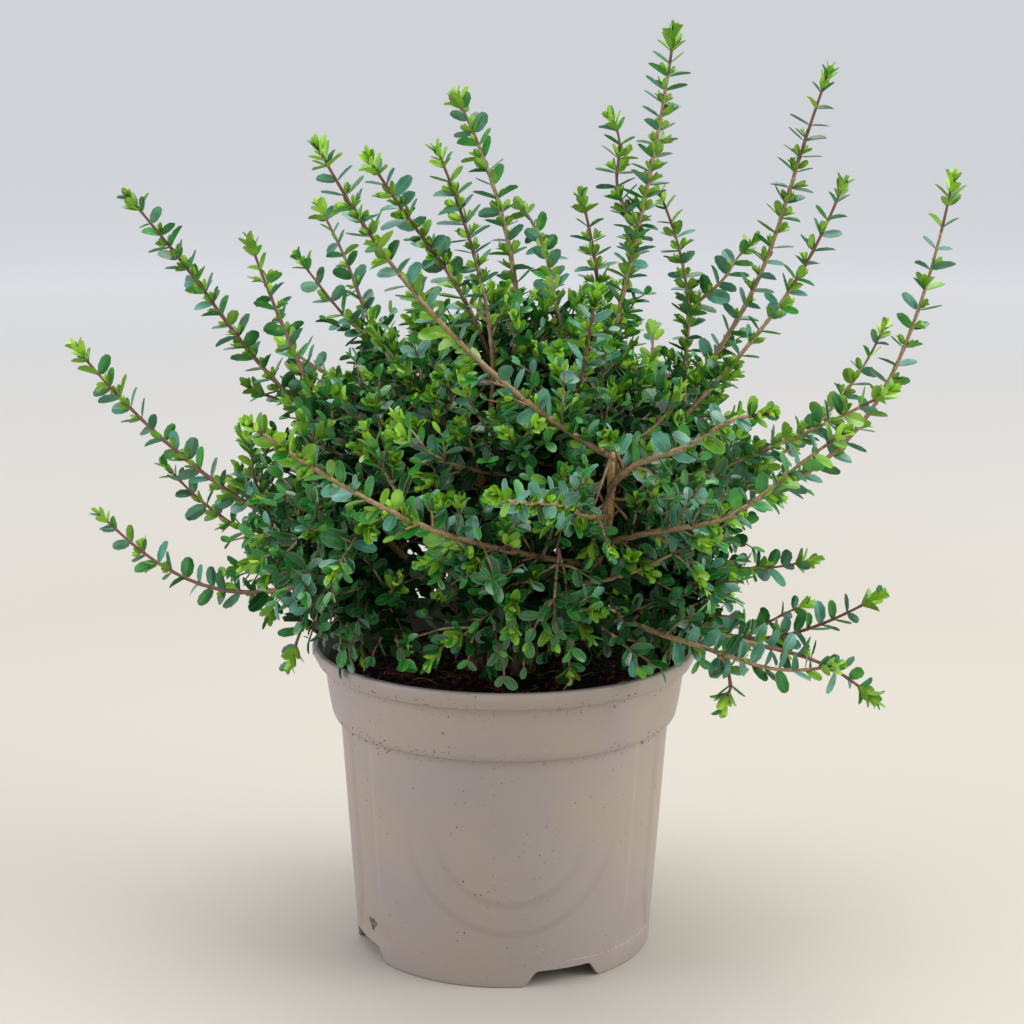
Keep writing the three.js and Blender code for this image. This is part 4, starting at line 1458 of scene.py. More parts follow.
@dataclass
class LongShoots:
    """The long shoots, on the lines of their solids, with leaves and axillary twigs."""

    dome: Dome
    frame: WoodyFrame
    crown_height: float = 200
    far_count: int = 6
    far_bearings: Pair = (48, 132)
    far_rises: Pair = (2, 24)
    far_reach: float = 205
    far_reach_spread: float = 10
    far_sag: float = 6
    furthest: int = 3
    furthest_row: Pair = (18, 223)
    bud: float = 11.2
    tuft: float = 3.0
    radii: Pair = (1.65, 0.6)
    stations: tuple[float, ...] = (0.98, 0.86, 0.74, 0.62, 0.5, 0.38, 0.26)
    finer: float = 0.62
    leafy_level: float = 0.62
    leaf: Pair = (9.4, 11.0)
    seed: int = 31

    @property
    def names(self) -> list[str]:
        """The nodes of all long shoots."""
        return [f"shoot_{k + 1:02d}" for k in range(len(SHOWN_SHOOTS) + self.far_count)]

    def rows(self, draws: SourceDraws) -> list[ShootRow]:
        """The rows of the solids in the source's order: those shown, then the far side's."""
        far = []
        for k in range(self.far_count):
            bearing = part_way(self.far_bearings, k / (self.far_count - 1))
            if k == self.furthest:
                rise, reach = self.furthest_row
            else:
                rise, reach = self.far_rises[k % 2], self.far_reach + draws.spread(self.far_reach_spread)
            far.append(ShootRow(bearing, rise, reach, self.far_sag))
        return [*SHOWN_SHOOTS, *far]

    def tips(self, rows: Iterable[ShootRow], short: float) -> Array:
        """The places that lie short of the shoots' reach by this much."""
        way = heading(column(rows, "bearing"), column(rows, "rise"))
        return self.crown_height * UP + way * (column(rows, "reach")[:, None] - short)

    def springs_from(self, name: str, tip: Array, sag: float) -> Array:
        """The place on a bough that a solid's stem grows from.

        Of the stations on all boughs it is the one from which an arc to the tip passes nearest the
        solid's own corners.
        """
        roots = np.concatenate([bough.path.at(np.array(self.stations)) for bough in self.frame.boughs])
        arcs = plain_twigs(roots, np.broadcast_to(tip, roots.shape), sag)
        points = arcs.every(np.linspace(0.12, 0.88, 9))[:, :, None]
        gaps = norm(points - node_corners(name), axis=-1).min(axis=2).mean(axis=1)
        return roots[np.argmin(gaps)]

    def grow(self, rows: list[ShootRow]) -> Twigs:
        """The stems of the long shoots, whose wood runs on into the tuft, and of the finer ones."""
        rng = np.random.default_rng(self.seed)
        sags = column(rows, "sag")
        given = zip(self.names, self.tips(rows, self.bud), sags, strict=True)
        roots = np.array([self.springs_from(*one) for one in given])
        long = plain_twigs(roots, self.tips(rows, self.tuft), sags)
        parents = column(FINE_SHOOTS, "parent").astype(int) - 1
        forks = long.places(parents, column(FINE_SHOOTS, "part"))
        fine = plain_twigs(forks, self.tips(FINE_SHOOTS, self.tuft), column(FINE_SHOOTS, "sag"))
        shoots, rows = Twigs.joined([long, fine]), [*rows, *FINE_SHOOTS]
        count = len(rows)
        share = np.linspace(0, 1, 50)
        outside = self.dome.level(shoots.every(share)) >= self.leafy_level
        shoots.leafy_from = np.minimum(share[np.argmax(outside, axis=1)], 0.6)
        thick = np.where(np.arange(count) < len(long), 1, self.finer) * rng.uniform(0.9, 1.05, count)
        shoots.radius, shoots.tip_radius = self.radii[0] * thick, self.radii[1] * thick**0.5
        shoots.vigour, shoots.spacing = column(rows, "vigour"), column(rows, "spacing")
        shoots.leaf = rng.uniform(*self.leaf, count)
        shoots.stray = rng.normal(0, 1.1, (count, 3))
        return shoots


def plain_twigs(root: Array, tip: Array, sag: Array | float) -> Twigs:
    """Arcs from roots to tips with nothing else settled yet."""
    count = len(root)
    unset = {each.name: np.zeros(count) for each in fields(Twigs)[4:]}
    return Twigs.arching(root, tip, sag, stray=np.zeros((count, 3)), **unset)


# Rings of cushions: level, how many, bearing of the first, and radius and height of the ring
CUSHION_RINGS = (("low", 6, -85, 80, 193), ("high", 4, -60, 56, 250), ("top", 1, 0, 4, 286))


@dataclass
class Cushions:
    """The dense inner foliage: twigs that fan out from the middle of each cushion to the skin."""

    dome: Dome
    shoots: LongShoots
    focus_height: float = 192
    skin: Pair = (0.74, 1.02)
    fan: float = 84
    twigs_each: int = 18
    golden_turn: float = 137.5
    core_corners: int = 42
    root_scatter: float = 7
    radii: Pair = (1.25, 0.42)
    seed: int = 47

    @property
    def names(self) -> list[str]:
        """The nodes of all cushions."""
        return [f"foliage_{level}_{k + 1}" for level, count, *_ in CUSHION_RINGS for k in range(count)]

    def middles(self, draws: SourceDraws) -> Array:
        """The middle of each cushion, with the source's draws for its height and rough core."""
        found = []
        for _, count, bearing, radius, height in CUSHION_RINGS:
            for k in range(count):
                raised = height + draws.spread(self.shoots.frame.height_spread)
                found.append(polar(bearing + 360 * k / count, radius, raised))
                draws.skip(self.core_corners)
        return np.array(found)

    def stems(self, middles: Array) -> Twigs:
        """The stem of each cushion, from its bough to its middle."""
        given = zip(self.names, middles, strict=True)
        stems = plain_twigs(np.array([self.shoots.springs_from(*one, 0) for one in given]), middles, 0)
        stems.radius[:], stems.tip_radius[:], stems.spacing[:] = 1.9, 1.2, 12
        return stems

    def grow(self, middles: Array) -> Twigs:
        """The cushions' main twigs.

        They fan out about the way from the crown's focus through the cushion's middle, at fan
        degrees times the square root of their place in the order, each a golden turn on.
        """
        rng = np.random.default_rng(self.seed)
        count = len(middles) * self.twigs_each
        middle = np.repeat(middles, self.twigs_each, axis=0)
        k = np.tile(range(self.twigs_each), len(middles))
        outward = unit(middle - self.focus_height * UP)
        fan = np.radians(self.fan * np.sqrt((k + 0.5) / self.twigs_each))
        turn = np.radians(self.golden_turn * k + rng.uniform(0, 40, count))
        way = swung(outward, swung(*square_to(outward), turn), fan)
        way = unit(way + rng.normal(0, 0.1, way.shape))
        root = middle - outward * rng.uniform(0, 2 * self.root_scatter, (count, 1))
        reach = self.dome.out_to(root, way, rng.uniform(*self.skin, count))
        tip = root + way * reach[:, None]
        long = norm(tip - root, axis=1)
        high = ease(*CROWN, tip[:, 2])
        return Twigs.arching(
            root,
            tip,
            rng.normal(-3, 3, count) + 11 * high,
            stray=rng.normal(0, 0.9, (count, 3)),
            radius=np.full(count, self.radii[0]),
            tip_radius=np.full(count, self.radii[1]),
            vigour=rng.uniform(0, 0.5, count) + 0.3 * high,
            leafy_from=np.clip(1 - 78 / long, 0.08, 0.5),
            spacing=rng.uniform(6.6, 8.2, count),
            leaf=rng.uniform(11.6, 14.2, count) - 2.8 * high,
        )


@dataclass
class Honeysuckle:
    """The whole plant above the compost."""

    dome: Dome = field(default_factory=Dome)
    frame: WoodyFrame = field(default_factory=WoodyFrame)
    foliage: Foliage = field(default_factory=Foliage)
    compost_draws: int = 72
    habit: LeafHabit = LeafHabit()
    shoot_habit: LeafHabit = LeafHabit(
        lean=66, light=0.5, lift=0.34, slimness=0.62, roll=(0.22, 0.75), youth=(0.36, 0.62, 0.28),
        youth_spread=0.24, weathered=0.62,
    )
    tuft: BudHabit = BudHabit()
    shoot_tuft: BudHabit = BudHabit(
        lean=(52, 11), length=(9.4, 6.4), step=2.5, slimness=0.54, opening=(0.7, 1.3)
    )
    axil: BudHabit = BudHabit(pairs=2, lean=(28, 10), length=(5.8, 4.8), step=1.0, slimness=0.55)
    stub: SideHabit = SideHabit(2.6, 0, 32, (0.1, 0.1), (5, 6), 3.0)
    lateral: SideHabit = SideHabit(30, 24, 44, (0.1, 0.5), (9, 11.4), 6.4)
    branch: SideHabit = SideHabit(34, 20, 48, (-0.08, 0.6), (9.6, 12.2), 6.6)
    lateral_chance: float = 0.36
    lateral_level: float = 0.97
    branch_chance: float = 0.5
    # how strongly the long shoots' pairs of leaves turn to the picture's plane
    flat: float = 0.52
    rim_zone: Pair = (86.0, 97.5)
    rim_height: float = 153.5
    compost_clear: float = 142.5
    # the wood that shows from the front: the part of the front bough and how clear it is to each
    # side, then each shoot's number with the part of it, and how clear these are
    shown_bough: tuple[float, float, float] = (0.76, 0.93, 7)
    shown_shoots: tuple[tuple[int, float, float], ...] = (
        (21, 0.04, 0.5), (8, 0.05, 0.4), (9, 0.05, 0.4), (15, 0.3, 0.6), (14, 0.35, 0.6), (16, 0.2, 0.7)
    )
    clear_round: float = 3.2
    clear_depth: float = 150
    # the hollow over the front of the compost: its middle, half its width, its back and its top
    hollow: tuple[float, float, float, float] = (-18, 44, -12, 160)
    shown: list[tuple[Array, float]] = field(default_factory=list)
    inner_each: int = 12
    inner_rises: Pair = (-25, 50)
    inner_lengths: Pair = (30, 58)
    seed: int = 71

    def hides_wood(self, places: Array) -> Array:
        """Which places stand between the camera and wood that shows."""
        hides = np.zeros(len(places), bool)
        for wood, clear in self.shown:
            view = unit(np.array(Studio.place) - wood)
            off = places[:, None] - wood
            ahead = np.sum(off * view, axis=-1)
            beside = norm(off - ahead[..., None] * view, axis=-1)
            hides |= ((ahead > 0) & (ahead < self.clear_depth) & (beside < clear)).any(axis=1)
        return hides

    def add_clear(self, leaves: Leaves) -> None:
        """Adds the leaves that keep out of the pot's rim and the compost, and leave shown wood bare."""
        steps = (leaves.length[:, None] * [0, 0.5, 1])[..., None]
        places = leaves.root[:, None] + leaves.along[:, None] * steps
        radius, height = np.hypot(places[..., 0], places[..., 1]), places[..., 2]
        inner, outer = self.rim_zone
        in_rim = (radius > inner) & (radius < outer) & (height < self.rim_height)
        in_compost = (radius <= inner) & (height < self.compost_clear)
        left_out = (in_rim | in_compost).any(axis=1) | self.hides_wood(places[:, 1])
        self.foliage.batches.append(leaves.take(~left_out))

    def out_of_hollow(self, twigs: Twigs) -> Twigs:
        """The twigs whose tips stay out of the hollow."""
        x, y, z = twigs.tip.T
        middle, half, back, top = self.hollow
        return twigs.take(~((np.abs(x - middle) < half) & (y < back) & (z < top)))

    def leafed(
        self, twigs: Twigs, habit: LeafHabit, tuft: BudHabit, rng: Random, above: float, flat: float = 0
    ) -> Nodes:
        """Adds the pairs of leaves of these twigs, and tufts on those whose vigour is above a level."""
        nodes = twigs.nodes(rng, flat)
        self.add_clear(habit.pairs(twigs, nodes, rng))
        growing = np.flatnonzero(twigs.vigour + rng.normal(0, 0.12, len(twigs)) > above)
        size = rng.uniform(0.85, 1.1, len(growing)) * np.clip(twigs.leaf[growing] / 10, 0.85, 1.1)
        age = np.where(rng.random(len(growing)) < 0.75, Age.BUD.number, Age.FRESH.number)
        self.add_clear(tuft.tufts(twigs, growing, np.full(len(growing), 0.99), size, age, rng))
        return nodes

    def axil_tufts(self, twigs: Twigs, nodes: Nodes, chance: Array, rng: Random) -> None:
        """Adds small tufts that stand in the axils of leaves, angled out from the shoot."""
        stubs = self.stub.twigs(twigs, nodes, chance, rng)
        count = len(stubs)
        age = np.where(rng.random(count) < 0.6, Age.BUD.number, Age.FRESH.number)
        size = rng.uniform(0.85, 1.35, count)
        self.add_clear(self.axil.tufts(stubs, np.arange(count), np.full(count, 0.9), size, age, rng))

    def inner_twigs(self, rng: Random) -> Twigs:
        """Short twigs with shaded leaves, all along the stems and boughs and to every side."""
        limbs = [*self.frame.stems, *self.frame.boughs]
        count = self.inner_each * len(limbs)
        root = np.concatenate([limb.path.at(rng.uniform(0.18, 1, self.inner_each)) for limb in limbs])
        way = heading(rng.uniform(0, 360, count), rng.uniform(*self.inner_rises, count))
        inner = plain_twigs(root, root + way * rng.uniform(*self.inner_lengths, (count, 1)), 0)
        inner.radius[:], inner.tip_radius[:] = 0.7, 0.35
        inner.leafy_from[:], inner.spacing[:], inner.leaf[:] = 0.2, 6.4, 10
        return inner

    def dress_shoots(self, shoots: LongShoots, draws: SourceDraws, rng: Random) -> Twigs:
        """Grows the long shoots and their leaves, and returns the twigs beside them."""
        rows = shoots.rows(draws)
        stems = shoots.grow(rows)
        rows += FINE_SHOOTS
        *part, clear = self.shown_bough
        self.shown.append((self.frame.boughs[0].path.at(np.linspace(*part, 16)), clear))
        for number, start, stop in self.shown_shoots:
            share = np.linspace(start, stop, 40)
            self.shown.append((stems.places(np.full(40, number - 1), share), self.clear_round))
        nodes = self.leafed(stems, self.shoot_habit, self.shoot_tuft, rng, above=-1, flat=self.flat)
        self.axil_tufts(stems, nodes.take(nodes.to_tip > 2), column(rows, "growing"), rng)
        within = self.dome.level(stems.places(nodes.owner, nodes.share)) < self.lateral_level
        laterals = self.lateral.twigs(stems, nodes.take(within), self.lateral_chance, rng)
        self.leafed(laterals, self.habit, self.tuft, rng, above=0.6)
        TwigWood("shoot_stems", sides=8, rings=90, swell=0.24).make(stems, column(rows, "tan"), shoots.names)
        return laterals

    def dress_cushions(self, cushions: Cushions, draws: SourceDraws, rng: Random) -> list[Twigs]:
        """Grows the cushions' twigs and leaves, and returns the branches and the twigs inside."""
        middles = cushions.middles(draws)
        stems = cushions.stems(middles)
        mains = cushions.grow(middles)
        crossing = mains.every(np.array([0.5, 0.7, 0.9]))
        hidden = self.hides_wood(crossing.reshape(-1, 3)).reshape(crossing.shape[:2])
        mains = self.out_of_hollow(mains.take(~hidden.any(axis=1)))
        nodes = self.leafed(mains, self.habit, self.tuft, rng, above=0.42)
        branches = self.branch.twigs(mains, nodes.take(nodes.to_tip > 1), self.branch_chance, rng)
        branches = self.out_of_hollow(branches.take(~self.hides_wood((branches.root + branches.tip) / 2)))
        self.leafed(branches, self.habit, self.tuft, rng, above=0.62)
        inner = self.out_of_hollow(self.inner_twigs(rng))
        self.leafed(inner, self.habit, self.tuft, rng, above=9)
        TwigWood("cushion_stems", sides=8, rings=24, swell=0.1).make(stems, 1.1, cushions.names)
        TwigWood("cushion_twigs", sides=5, rings=22, swell=0.2).make(mains, 0.8, cushions.names)
        return [branches, inner]

    def build(self) -> None:
        """Grows the plant from the wood outwards."""
        rng = np.random.default_rng(self.seed)
        draws = SourceDraws()
        draws.skip(self.compost_draws)
        self.frame.grow(draws)
        self.frame.dress()
        shoots = LongShoots(self.dome, self.frame)
        cushions = Cushions(self.dome, shoots)
        laterals = self.dress_shoots(shoots, draws, rng)
        others = self.dress_cushions(cushions, draws, rng)
        everywhere = [*shoots.names, *cushions.names]
        small = Twigs.joined([laterals, *others])
        TwigWood("side_twigs", sides=4, rings=6, swell=0.1).make(small, 0.5, everywhere)
        self.foliage.make(everywhere)


# The pot and what is in it


def turn_from(centre: float, bearing: Array, whole: float = 360) -> Array:
    """How far bearings lie from a centre that comes again every whole degrees, to either side."""
    return (bearing - centre + whole / 2) % whole - whole / 2


def rounded_outline(corners: Iterable[tuple[float, float, float]], arc_points: int = 5) -> Array:
    """A closed outline whose corners are rounded.

    Args:
        corners: radius, height and rounding of each corner.
        arc_points: points on each rounding, which is a quadratic arc pulled towards the corner.

    Returns:
        Radius and height of each point, (points, 2).
    """
    table = np.array(list(corners), float)
    place, rounding = table[:, :2], table[:, 2:]
    back = unit(np.roll(place, 1, axis=0) - place) * rounding
    onward = unit(np.roll(place, -1, axis=0) - place) * rounding
    share = np.linspace(0, 1, arc_points)[:, None]
    arcs = place[:, None] + (1 - share) ** 2 * back[:, None] + share**2 * onward[:, None]
    return arcs.reshape(-1, 2)


def divided(outline: Array, longest: Callable[[Array], Array]) -> Array:
    """A closed outline with its steps cut into even parts no longer than longest gives for them."""
    onward = np.roll(outline, -1, axis=0)
    length = norm(onward - outline, axis=1)
    parts = np.maximum(1, np.ceil(length / longest((outline + onward) / 2)).astype(int))
    share = np.concatenate([np.arange(count) / count for count in parts])
    start = np.repeat(np.arange(len(outline)), parts)
    return outline[start] + share[:, None] * (onward - outline)[start]


@dataclass
class NurseryPot:
    """The pot: one moulded wall with lip, collar and notched foot, and a drained floor."""

    height: float = 152
    rim_radius: float = 95
    lip_under_radius: float = 92
    lip_foot: float = 143.5
    lip_width: float = 4
    collar_top_radius: float = 88.5
    collar_foot_radius: float = 85
    collar_foot: float = 116.5
    collar_chamfer: float = 2.5
    collar_bulge: float = 0.55
    body_top_radius: float = 81.2
    foot_radius: float = 73.5
    foot_width: float = 3.5
    wall: float = 1.8
    floor_underside: float = 9
    floor_top: float = 11
    floor_ledge: float = 68
    notch_bearing: float = -66.5
    notch_height: float = 8
    notch_foot_width: float = 40
    notch_top_width: float = 27
    drain_holes: int = 6
    drain_ring: float = 46
    drain_radius: float = 5
    segments: int = 288
    fine_step: float = 1.6
    coarse_step: float = 8.0
    # shallow upright panels, and faint rings where the plastic entered the mould
    panel_bearings: tuple[float, ...] = (-30, -150, 90)
    panel_half: float = 7
    panel_depth: float = 1.1
    ring_relief: float = 0.3

    def outline(self) -> Array:
        """The wall's section: foot, outer wall, collar, lip, inner wall and ledge of the floor."""
        inside = self.rim_radius - self.lip_width
        corners = (
            (self.foot_radius - self.foot_width, self.floor_underside, 0.6),
            (self.foot_radius - self.foot_width, 0, 0.6),
            (self.foot_radius, 0, 1.2),
            (self.body_top_radius, self.collar_foot, 0.5),
            (self.collar_foot_radius - 1, self.collar_foot, 0.5),
            (self.collar_foot_radius, self.collar_foot + self.collar_chamfer, 1.1),
            (self.collar_top_radius, self.lip_foot, 0.6),
            (self.lip_under_radius, self.lip_foot, 0.9),
            (self.rim_radius, self.height - 2.4, 0.8),
            (self.rim_radius - 0.6, self.height, 1.0),
            (inside + 0.5, self.height, 1.0),
            (inside, self.height - 1.6, 0.8),
            (self.collar_top_radius - self.wall, self.lip_foot, 1.5),
            (self.collar_foot_radius - self.wall, self.collar_foot + self.collar_chamfer + 1, 1.5),
            (self.body_top_radius - self.wall, self.collar_foot - 1, 1.5),
            (self.foot_radius - self.wall, self.floor_top, 0.6),
            (self.floor_ledge, self.floor_top, 0.1),
            (self.floor_ledge, self.floor_underside, 0.1),
        )

        def longest(middles: Array) -> Array:
            """Fine on the outer wall, where the relief is, and coarse elsewhere."""
            outer = middles[:, 0] > self.foot_radius - 0.5 + 0.062 * middles[:, 1]
            return np.where(outer & (middles[:, 1] < self.lip_foot), self.fine_step, self.coarse_step)

        return divided(rounded_outline(corners), longest)

    def relief(self, bearing: Array, height: Array) -> Array:
        """How far the outer wall stands out from its plain taper.

        The collar bulges as a parabola. Panels sink between two eased edges that part towards the
        foot. Two rings round the gate are eased steps, and fade out above their middle.
        """
        up_collar = np.clip((height - self.collar_foot) / (self.lip_foot - self.collar_foot), 0, 1)
        out = self.collar_bulge * 4 * up_collar * (1 - up_collar)
        on_body = ease(self.collar_foot + 0.5, self.collar_foot - 1.5, height) * ease(6, 14, height)
        for centre in self.panel_bearings:
            off = np.abs(turn_from(centre, bearing))
            half = self.panel_half + 5 * ease(40, 12, height) ** 2
            out = out - self.panel_depth * on_body * ease(half + 1.2, half - 0.2, off)
        gate_bearing, gate_radius, gate_height = GATE
        off = np.radians(turn_from(gate_bearing, bearing)) * gate_radius
        from_gate = np.hypot(off, height - gate_height)
        below = ease(2, -26, height - gate_height)
        for radius in GATE_RINGS:
            out = out + self.ring_relief * below * ease(radius + 1.2, radius - 1.2, from_gate) * on_body
        return out

    def notch(self, bearing: Array, radius: Array) -> Array:
        """How high the foot is cut away: straight ramps up to a flat top, four times round."""
        off = np.abs(np.radians(turn_from(self.notch_bearing, bearing, 90))) * radius
        ramp = (self.notch_foot_width - 2 * off) / (self.notch_foot_width - self.notch_top_width)
        return self.notch_height * ease(-0.06, 1.06, ramp)

    def wall_piece(self) -> bpy.types.Object:
        """The outline turned about the axis, with relief on the outer wall and notches in the foot."""
        outline = self.outline()
        bearing = np.linspace(-180, 180, self.segments, endpoint=False)
        radius, height = outline.T[..., None]
        taper = (self.body_top_radius - self.foot_radius) / self.collar_foot
        outer = (radius > self.foot_radius + taper * height - 0.6) & (height < self.lip_foot - 0.3)
        in_foot = (radius > self.foot_radius - self.foot_width - 0.1) & (height < self.floor_underside)
        raised = np.where(in_foot, self.notch(bearing, radius) * (1 - height / self.floor_underside), 0)
        radius = radius + np.where(outer, raised * taper, 0)
        height = height + raised
        wavy = 0.12 * lattice_noise(polar(bearing, 1.2, height / 70), 3)
        radius = radius + np.where(outer, self.relief(bearing, height), 0) + wavy
        corners = polar(bearing, radius, height)
        draft = MeshDraft()
        draft.add(corners, grid_faces(*corners.shape[:2], loop_rows=True, loop_columns=True)[:, ::-1])
        return install(draft.make("pot_wall", [POT_PLASTIC], crease=40), "pot_plastic", ["pot"])

    def floor_piece(self) -> bpy.types.Object:
        """The floor's disc, a hair inside the ledge's faces, with its drain holes cut out."""
        inset = 0.15
        reach = self.foot_radius - self.wall
        centres = np.array([[0, 0, self.floor_underside + inset], [0, 0, self.floor_top - inset]])
        disc = MeshDraft()
        sides = 96
        corners = tube_corners(centres[None], np.full((1, 2), reach - 1.5), sides)
        corners[:, -2:] = centres
        disc.add(corners, *tube_faces(2, sides))
        floor = disc.make("pot_floor", [POT_PLASTIC], crease=40)
        cutters = MeshDraft()
        bearings = self.notch_bearing + 360 / self.drain_holes * np.arange(self.drain_holes)
        holes = np.array([np.zeros(3), *polar(bearings, self.drain_ring, 0.0)])
        lines = holes[:, None] + [[0, 0, self.floor_underside - 4], [0, 0, self.floor_top + 4]]
        cutters.add_tubes(lines, np.full((len(holes), 2), self.drain_radius), 32)
        cutter = cutters.make("drain_cutters", [])
        carve = floor.modifiers.new("drain holes", "BOOLEAN")
        carve.operation, carve.solver, carve.object = "DIFFERENCE", "EXACT", cutter
        carved = floor.evaluated_get(bpy.context.evaluated_depsgraph_get())
        floor.data = bpy.data.meshes.new_from_object(carved)
        floor.modifiers.clear()
        bpy.data.objects.remove(cutter)
        return install(floor, "pot_plastic", ["pot"])

    def build(self) -> None:
        """Makes the wall and the floor."""
        self.wall_piece()
        self.floor_piece()


@dataclass
class CompostBed:
    """The compost, and the shredded bark, rootlets and fallen leaves that lie on it."""

    level: float = 140
    flat_radius: float = 30
    edge_drop: float = 4
    edge_radius: float = 85.3
    # radius and height down the pot's inside, to its floor
    sides: tuple[Pair, ...] = ((84.0, 130.0), (82.6, 120.0), (79.0, 115.5), (71.4, 11.3))
    rings: int = 84
    segments: int = 200
    # size and height of the lumps, from clods down to crumbs
    lumps: tuple[Pair, ...] = ((17, 1.5), (6, 1.3), (2.6, 0.9))
    seed: int = 9

    def surface(self, places: Array) -> Array:
        """The surface's height: level in the middle, falling by the square of the radius, and lumpy."""
        x, y = places[..., 0], places[..., 1]
        radius = np.hypot(x, y)
        beyond = np.clip((radius - self.flat_radius) / (self.edge_radius - self.flat_radius), 0, 1)
        height = self.level - self.edge_drop * beyond**2
        calm = ease(self.edge_radius, self.edge_radius - 6, radius) * (0.35 + 0.65 * ease(8, 26, radius))
        for k, (size, amount) in enumerate(self.lumps):
            at = np.stack([x / size, y / size, np.full_like(x, k * 7.3)], -1)
            height = height + amount * calm * lattice_noise(at, 20 + k)
        return height

    def laid(self, places: Array) -> Array:
        """The places moved up or down to the surface."""
        return np.concatenate([places[..., :2], self.surface(places)[..., None]], -1)

    def bed(self) -> bpy.types.Object:
        """The surface on a polar grid, carried down the pot's wall and closed underneath."""
        share = np.linspace(0, 1, self.rings)[1:, None]
        bearing = np.linspace(0, 360, self.segments, endpoint=False)
        top = self.laid(polar(bearing, self.edge_radius * share, 0.0))
        wall = polar(bearing, *np.array(self.sides).T[..., None])
        grid = np.concatenate([top, wall])
        poles = np.array([*self.laid(np.zeros((1, 3))), [0, 0, self.sides[-1][1]]])
        draft = MeshDraft()
        faces = (part[:, ::-1] for part in tube_faces(len(grid), self.segments))
        draft.add(np.concatenate([grid.reshape(-1, 3), poles]), *faces)
        return install(draft.make("compost_bed", [PEAT], crease=70), "compost", ["compost"])

    def scattered(self, count: int, rng: Random, inner: float = 4) -> Array:
        """Even random places on the surface."""
        radius = np.sqrt(rng.uniform(inner**2, (self.edge_radius - 4) ** 2, count))
        return self.laid(polar(rng.uniform(0, 360, count), radius, 0.0))

    def strands(
        self, name: str, finish: Finish, count: int, length: Pair, radius: Pair, lift: float, seed: int
    ) -> None:
        """Bent strands that lie on the compost, thicker in the middle: (0.35 + sin(pi s)^0.5) radius."""
        rng = np.random.default_rng(seed)
        middle = self.scattered(count, rng)
        way = polar(rng.uniform(0, 360, count), 1.0, rng.normal(0.05, lift, count))
        long = rng.uniform(*length, (count, 1))
        share = np.linspace(-0.5, 0.5, 7)[:, None]
        bend = rng.normal(0, 0.16, (count, 1, 3)) * long[:, None]
        centres = middle[:, None] + way[:, None] * long[:, None] * share + bend * (1 - 4 * share**2)
        centres[..., 2] = np.maximum(centres[..., 2], self.surface(centres) + 0.1)
        flat = np.hypot(centres[..., 0], centres[..., 1])
        centres[..., :2] *= np.minimum(1, (self.edge_radius - 2) / np.maximum(flat, 1))[..., None]
        bulge = 0.35 + np.sqrt(np.sin(np.pi * (share[:, 0] + 0.5)))
        thick = rng.uniform(*radius, (count, 1)) * bulge
        draft = MeshDraft()
        draft.add_tubes(centres, thick, 5)
        install(draft.make(name, [finish], crease=60), "compost", ["compost"])

    def crumbs(self, count: int = 1500) -> None:
        """Crumbs of compost: eight-cornered lumps with every corner pushed in or out."""
        rng = np.random.default_rng(self.seed)
        place = self.scattered(count, rng, 10)
        corners = np.array(list(np.ndindex(2, 2, 2))) * 2.0 - 1
        size = rng.gamma(2.2, 0.42, (count, 1, 1)) + 0.35
        lump = unit(corners) * size * rng.uniform(0.55, 1.25, (count, 8, 1)) * [1.25, 1.0, 0.75]
        turn = rng.uniform(0, 2 * np.pi, count)
        cos, sin = np.cos(turn)[:, None], np.sin(turn)[:, None]
        x, y, z = np.moveaxis(lump, -1, 0)
        placed = place[:, None] + np.stack([x * cos - y * sin, x * sin + y * cos, z], -1)
        box = np.array([[0, 1, 3, 2], [4, 6, 7, 5], [0, 4, 5, 1], [2, 3, 7, 6], [0, 2, 6, 4], [1, 5, 7, 3]])
        draft = MeshDraft()
        draft.add(placed, repeated(box, count, 8))
        install(draft.make("compost_crumbs", [PEAT], crease=30), "compost", ["compost"])

    def fallen_leaves(self) -> None:
        """A few shed leaves, lying flat: two near the front rim, one at the right, more behind."""
        spots = np.array([[-52, -58], [4, -76], [62, -30], [-20, -60], [36, 52], [-58, 34], [10, 68]], float)
        rng = np.random.default_rng(self.seed)
        count = len(spots)
        root = self.laid(spots) + 1.2 * UP
        along = unit(polar(rng.uniform(0, 360, count), 1.0, 0.12))
        face = across(along, UP + rng.normal(0, 0.25, (count, 3)))
        length = rng.uniform(8, 11, count)
        leaves = Leaves(root, along, face, length, 0.5 * length, np.zeros(count, int))
        Foliage().piece("fallen_leaves", Age.BUD, leaves, ["compost"])

    def build(self) -> None:
        """Makes the bed and what lies on it."""
        self.bed()
        self.crumbs()
        self.strands("shredded_bark", SHREDDED_BARK, 420, (3, 11), (0.35, 0.9), lift=0.25, seed=13)
        self.strands("rootlets", PALE_ROOT, 110, (8, 20), (0.1, 0.17), lift=0.35, seed=14)
        self.fallen_leaves()


# The studio


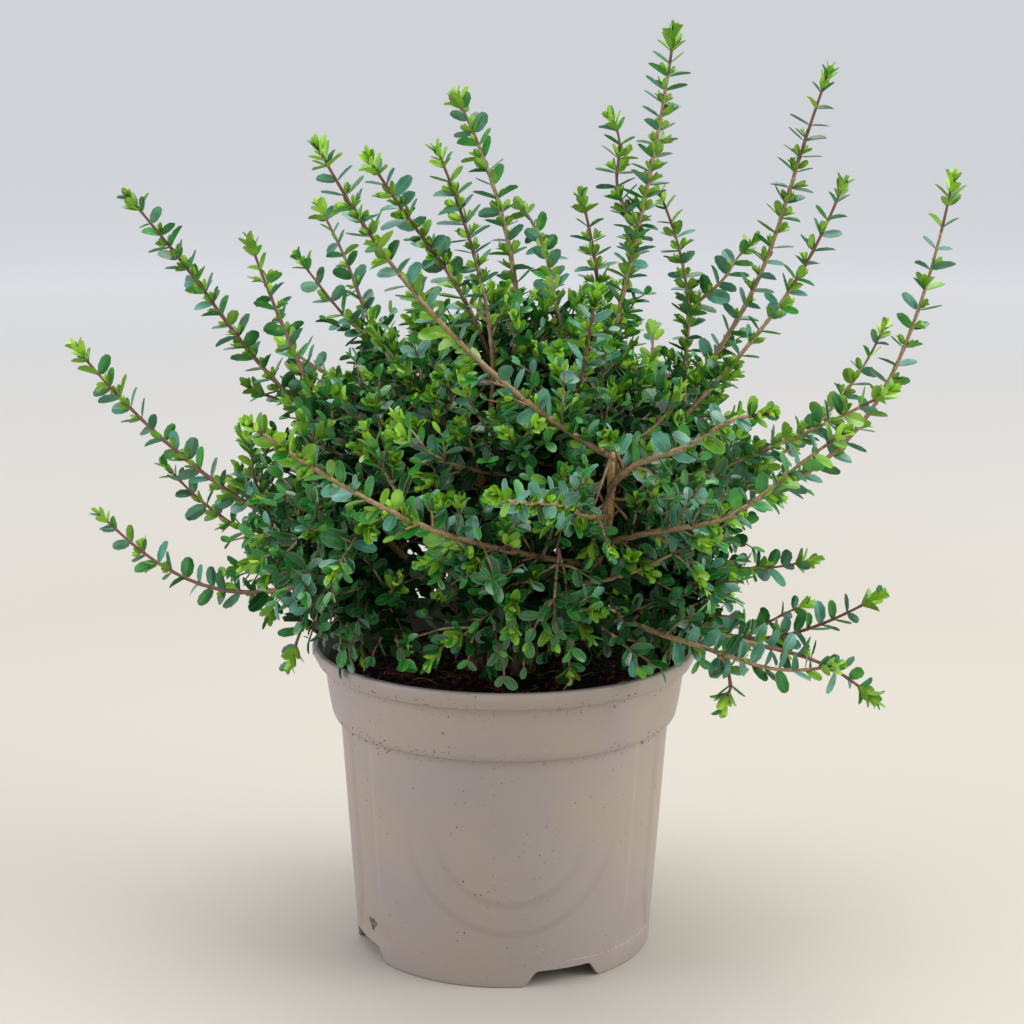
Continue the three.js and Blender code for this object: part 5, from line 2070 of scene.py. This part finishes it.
@dataclass
class Studio:
    """A plain pale floor, soft light all round, and the camera at the photograph's angle."""

    focal_pixels: float = 2250
    frame_pixels: float = 1024
    sensor: float = 36
    place: tuple[float, float, float] = (3.3, -1073.6, 446.6)
    pitch_down: float = 12.106
    roll: float = 0.3
    floor_half: float = 9000
    sky: str = "#f0f3f8"
    sky_strength: float = 0.72
    # name, place, aim and size in millimetres, power in watts and colour
    lamps: tuple[tuple[str, tuple, tuple, float, float, str], ...] = (
        ("soft lamp on the left", (-1500, -500, 1000), (0, 0, 200), 1200, 12.5, "#eeeeff"),
        ("soft lamp on the right", (1500, -400, 1000), (0, 0, 200), 1200, 18, "#ffffff"),
        ("soft lamp above", (0, 300, 1900), (0, 0, 250), 1600, 23, "#ffffff"),
    )

    def camera(self) -> None:
        """The camera, fitted to the pot's rim, collar and foot."""
        data = bpy.data.cameras.new("camera")
        data.sensor_width = self.sensor
        data.lens = self.focal_pixels / self.frame_pixels * self.sensor
        data.clip_end = 50
        camera = bpy.data.objects.new("camera", data)
        turn = Matrix.Rotation(math.pi / 2 - math.radians(self.pitch_down), 4, "X")
        roll = Matrix.Rotation(math.radians(self.roll), 4, "Z")
        camera.matrix_world = Matrix.Translation([axis * MM for axis in self.place]) @ turn @ roll
        bpy.context.scene.collection.objects.link(camera)
        bpy.context.scene.camera = camera

    def floor(self) -> None:
        """One flat square under the pot."""
        half = self.floor_half
        draft = MeshDraft()
        corners = half * np.array([[-1, -1, 0], [1, -1, 0], [1, 1, 0], [-1, 1, 0]])
        draft.add(corners, np.array([[0, 1, 2, 3]]))
        draft.make("studio_floor", [StudioFloor("matt floor paint, pale")])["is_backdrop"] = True

    def light(self) -> None:
        """An even pale sky, and large soft lamps."""
        world = bpy.data.worlds.new("studio")
        world.use_nodes = True
        world.node_tree.nodes["Background"].inputs["Color"].default_value = linear(self.sky)
        world.node_tree.nodes["Background"].inputs["Strength"].default_value = self.sky_strength
        bpy.context.scene.world = world
        for name, place, aim, size, power, colour in self.lamps:
            data = bpy.data.lights.new(name, "AREA")
            data.size, data.energy, data.shape = size * MM, power, "DISK"
            data.color = linear(colour)[:3]
            lamp = bpy.data.objects.new(name, data)
            lamp.location = Vector(place) * MM
            lamp.rotation_euler = (Vector(aim) - Vector(place)).to_track_quat("-Z", "Y").to_euler()
            bpy.context.scene.collection.objects.link(lamp)

    def build(self) -> None:
        """Makes floor, light and camera."""
        self.camera()
        self.floor()
        self.light()
        bpy.context.scene.view_settings.view_transform = "Standard"


def main() -> None:
    """Builds the studio, the pot, the compost and the plant."""
    logging.basicConfig(level=logging.INFO, format="%(name)s: %(message)s")
    for part in (Studio(), NurseryPot(), CompostBed(), Honeysuckle()):
        part.build()
        log.info("%s is built", type(part).__name__)


if __name__ == "__main__":
    main()
    boxes = {"cad": [list(corner) for corner in CAD_BOX], "visual": [list(corner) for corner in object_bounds()]}
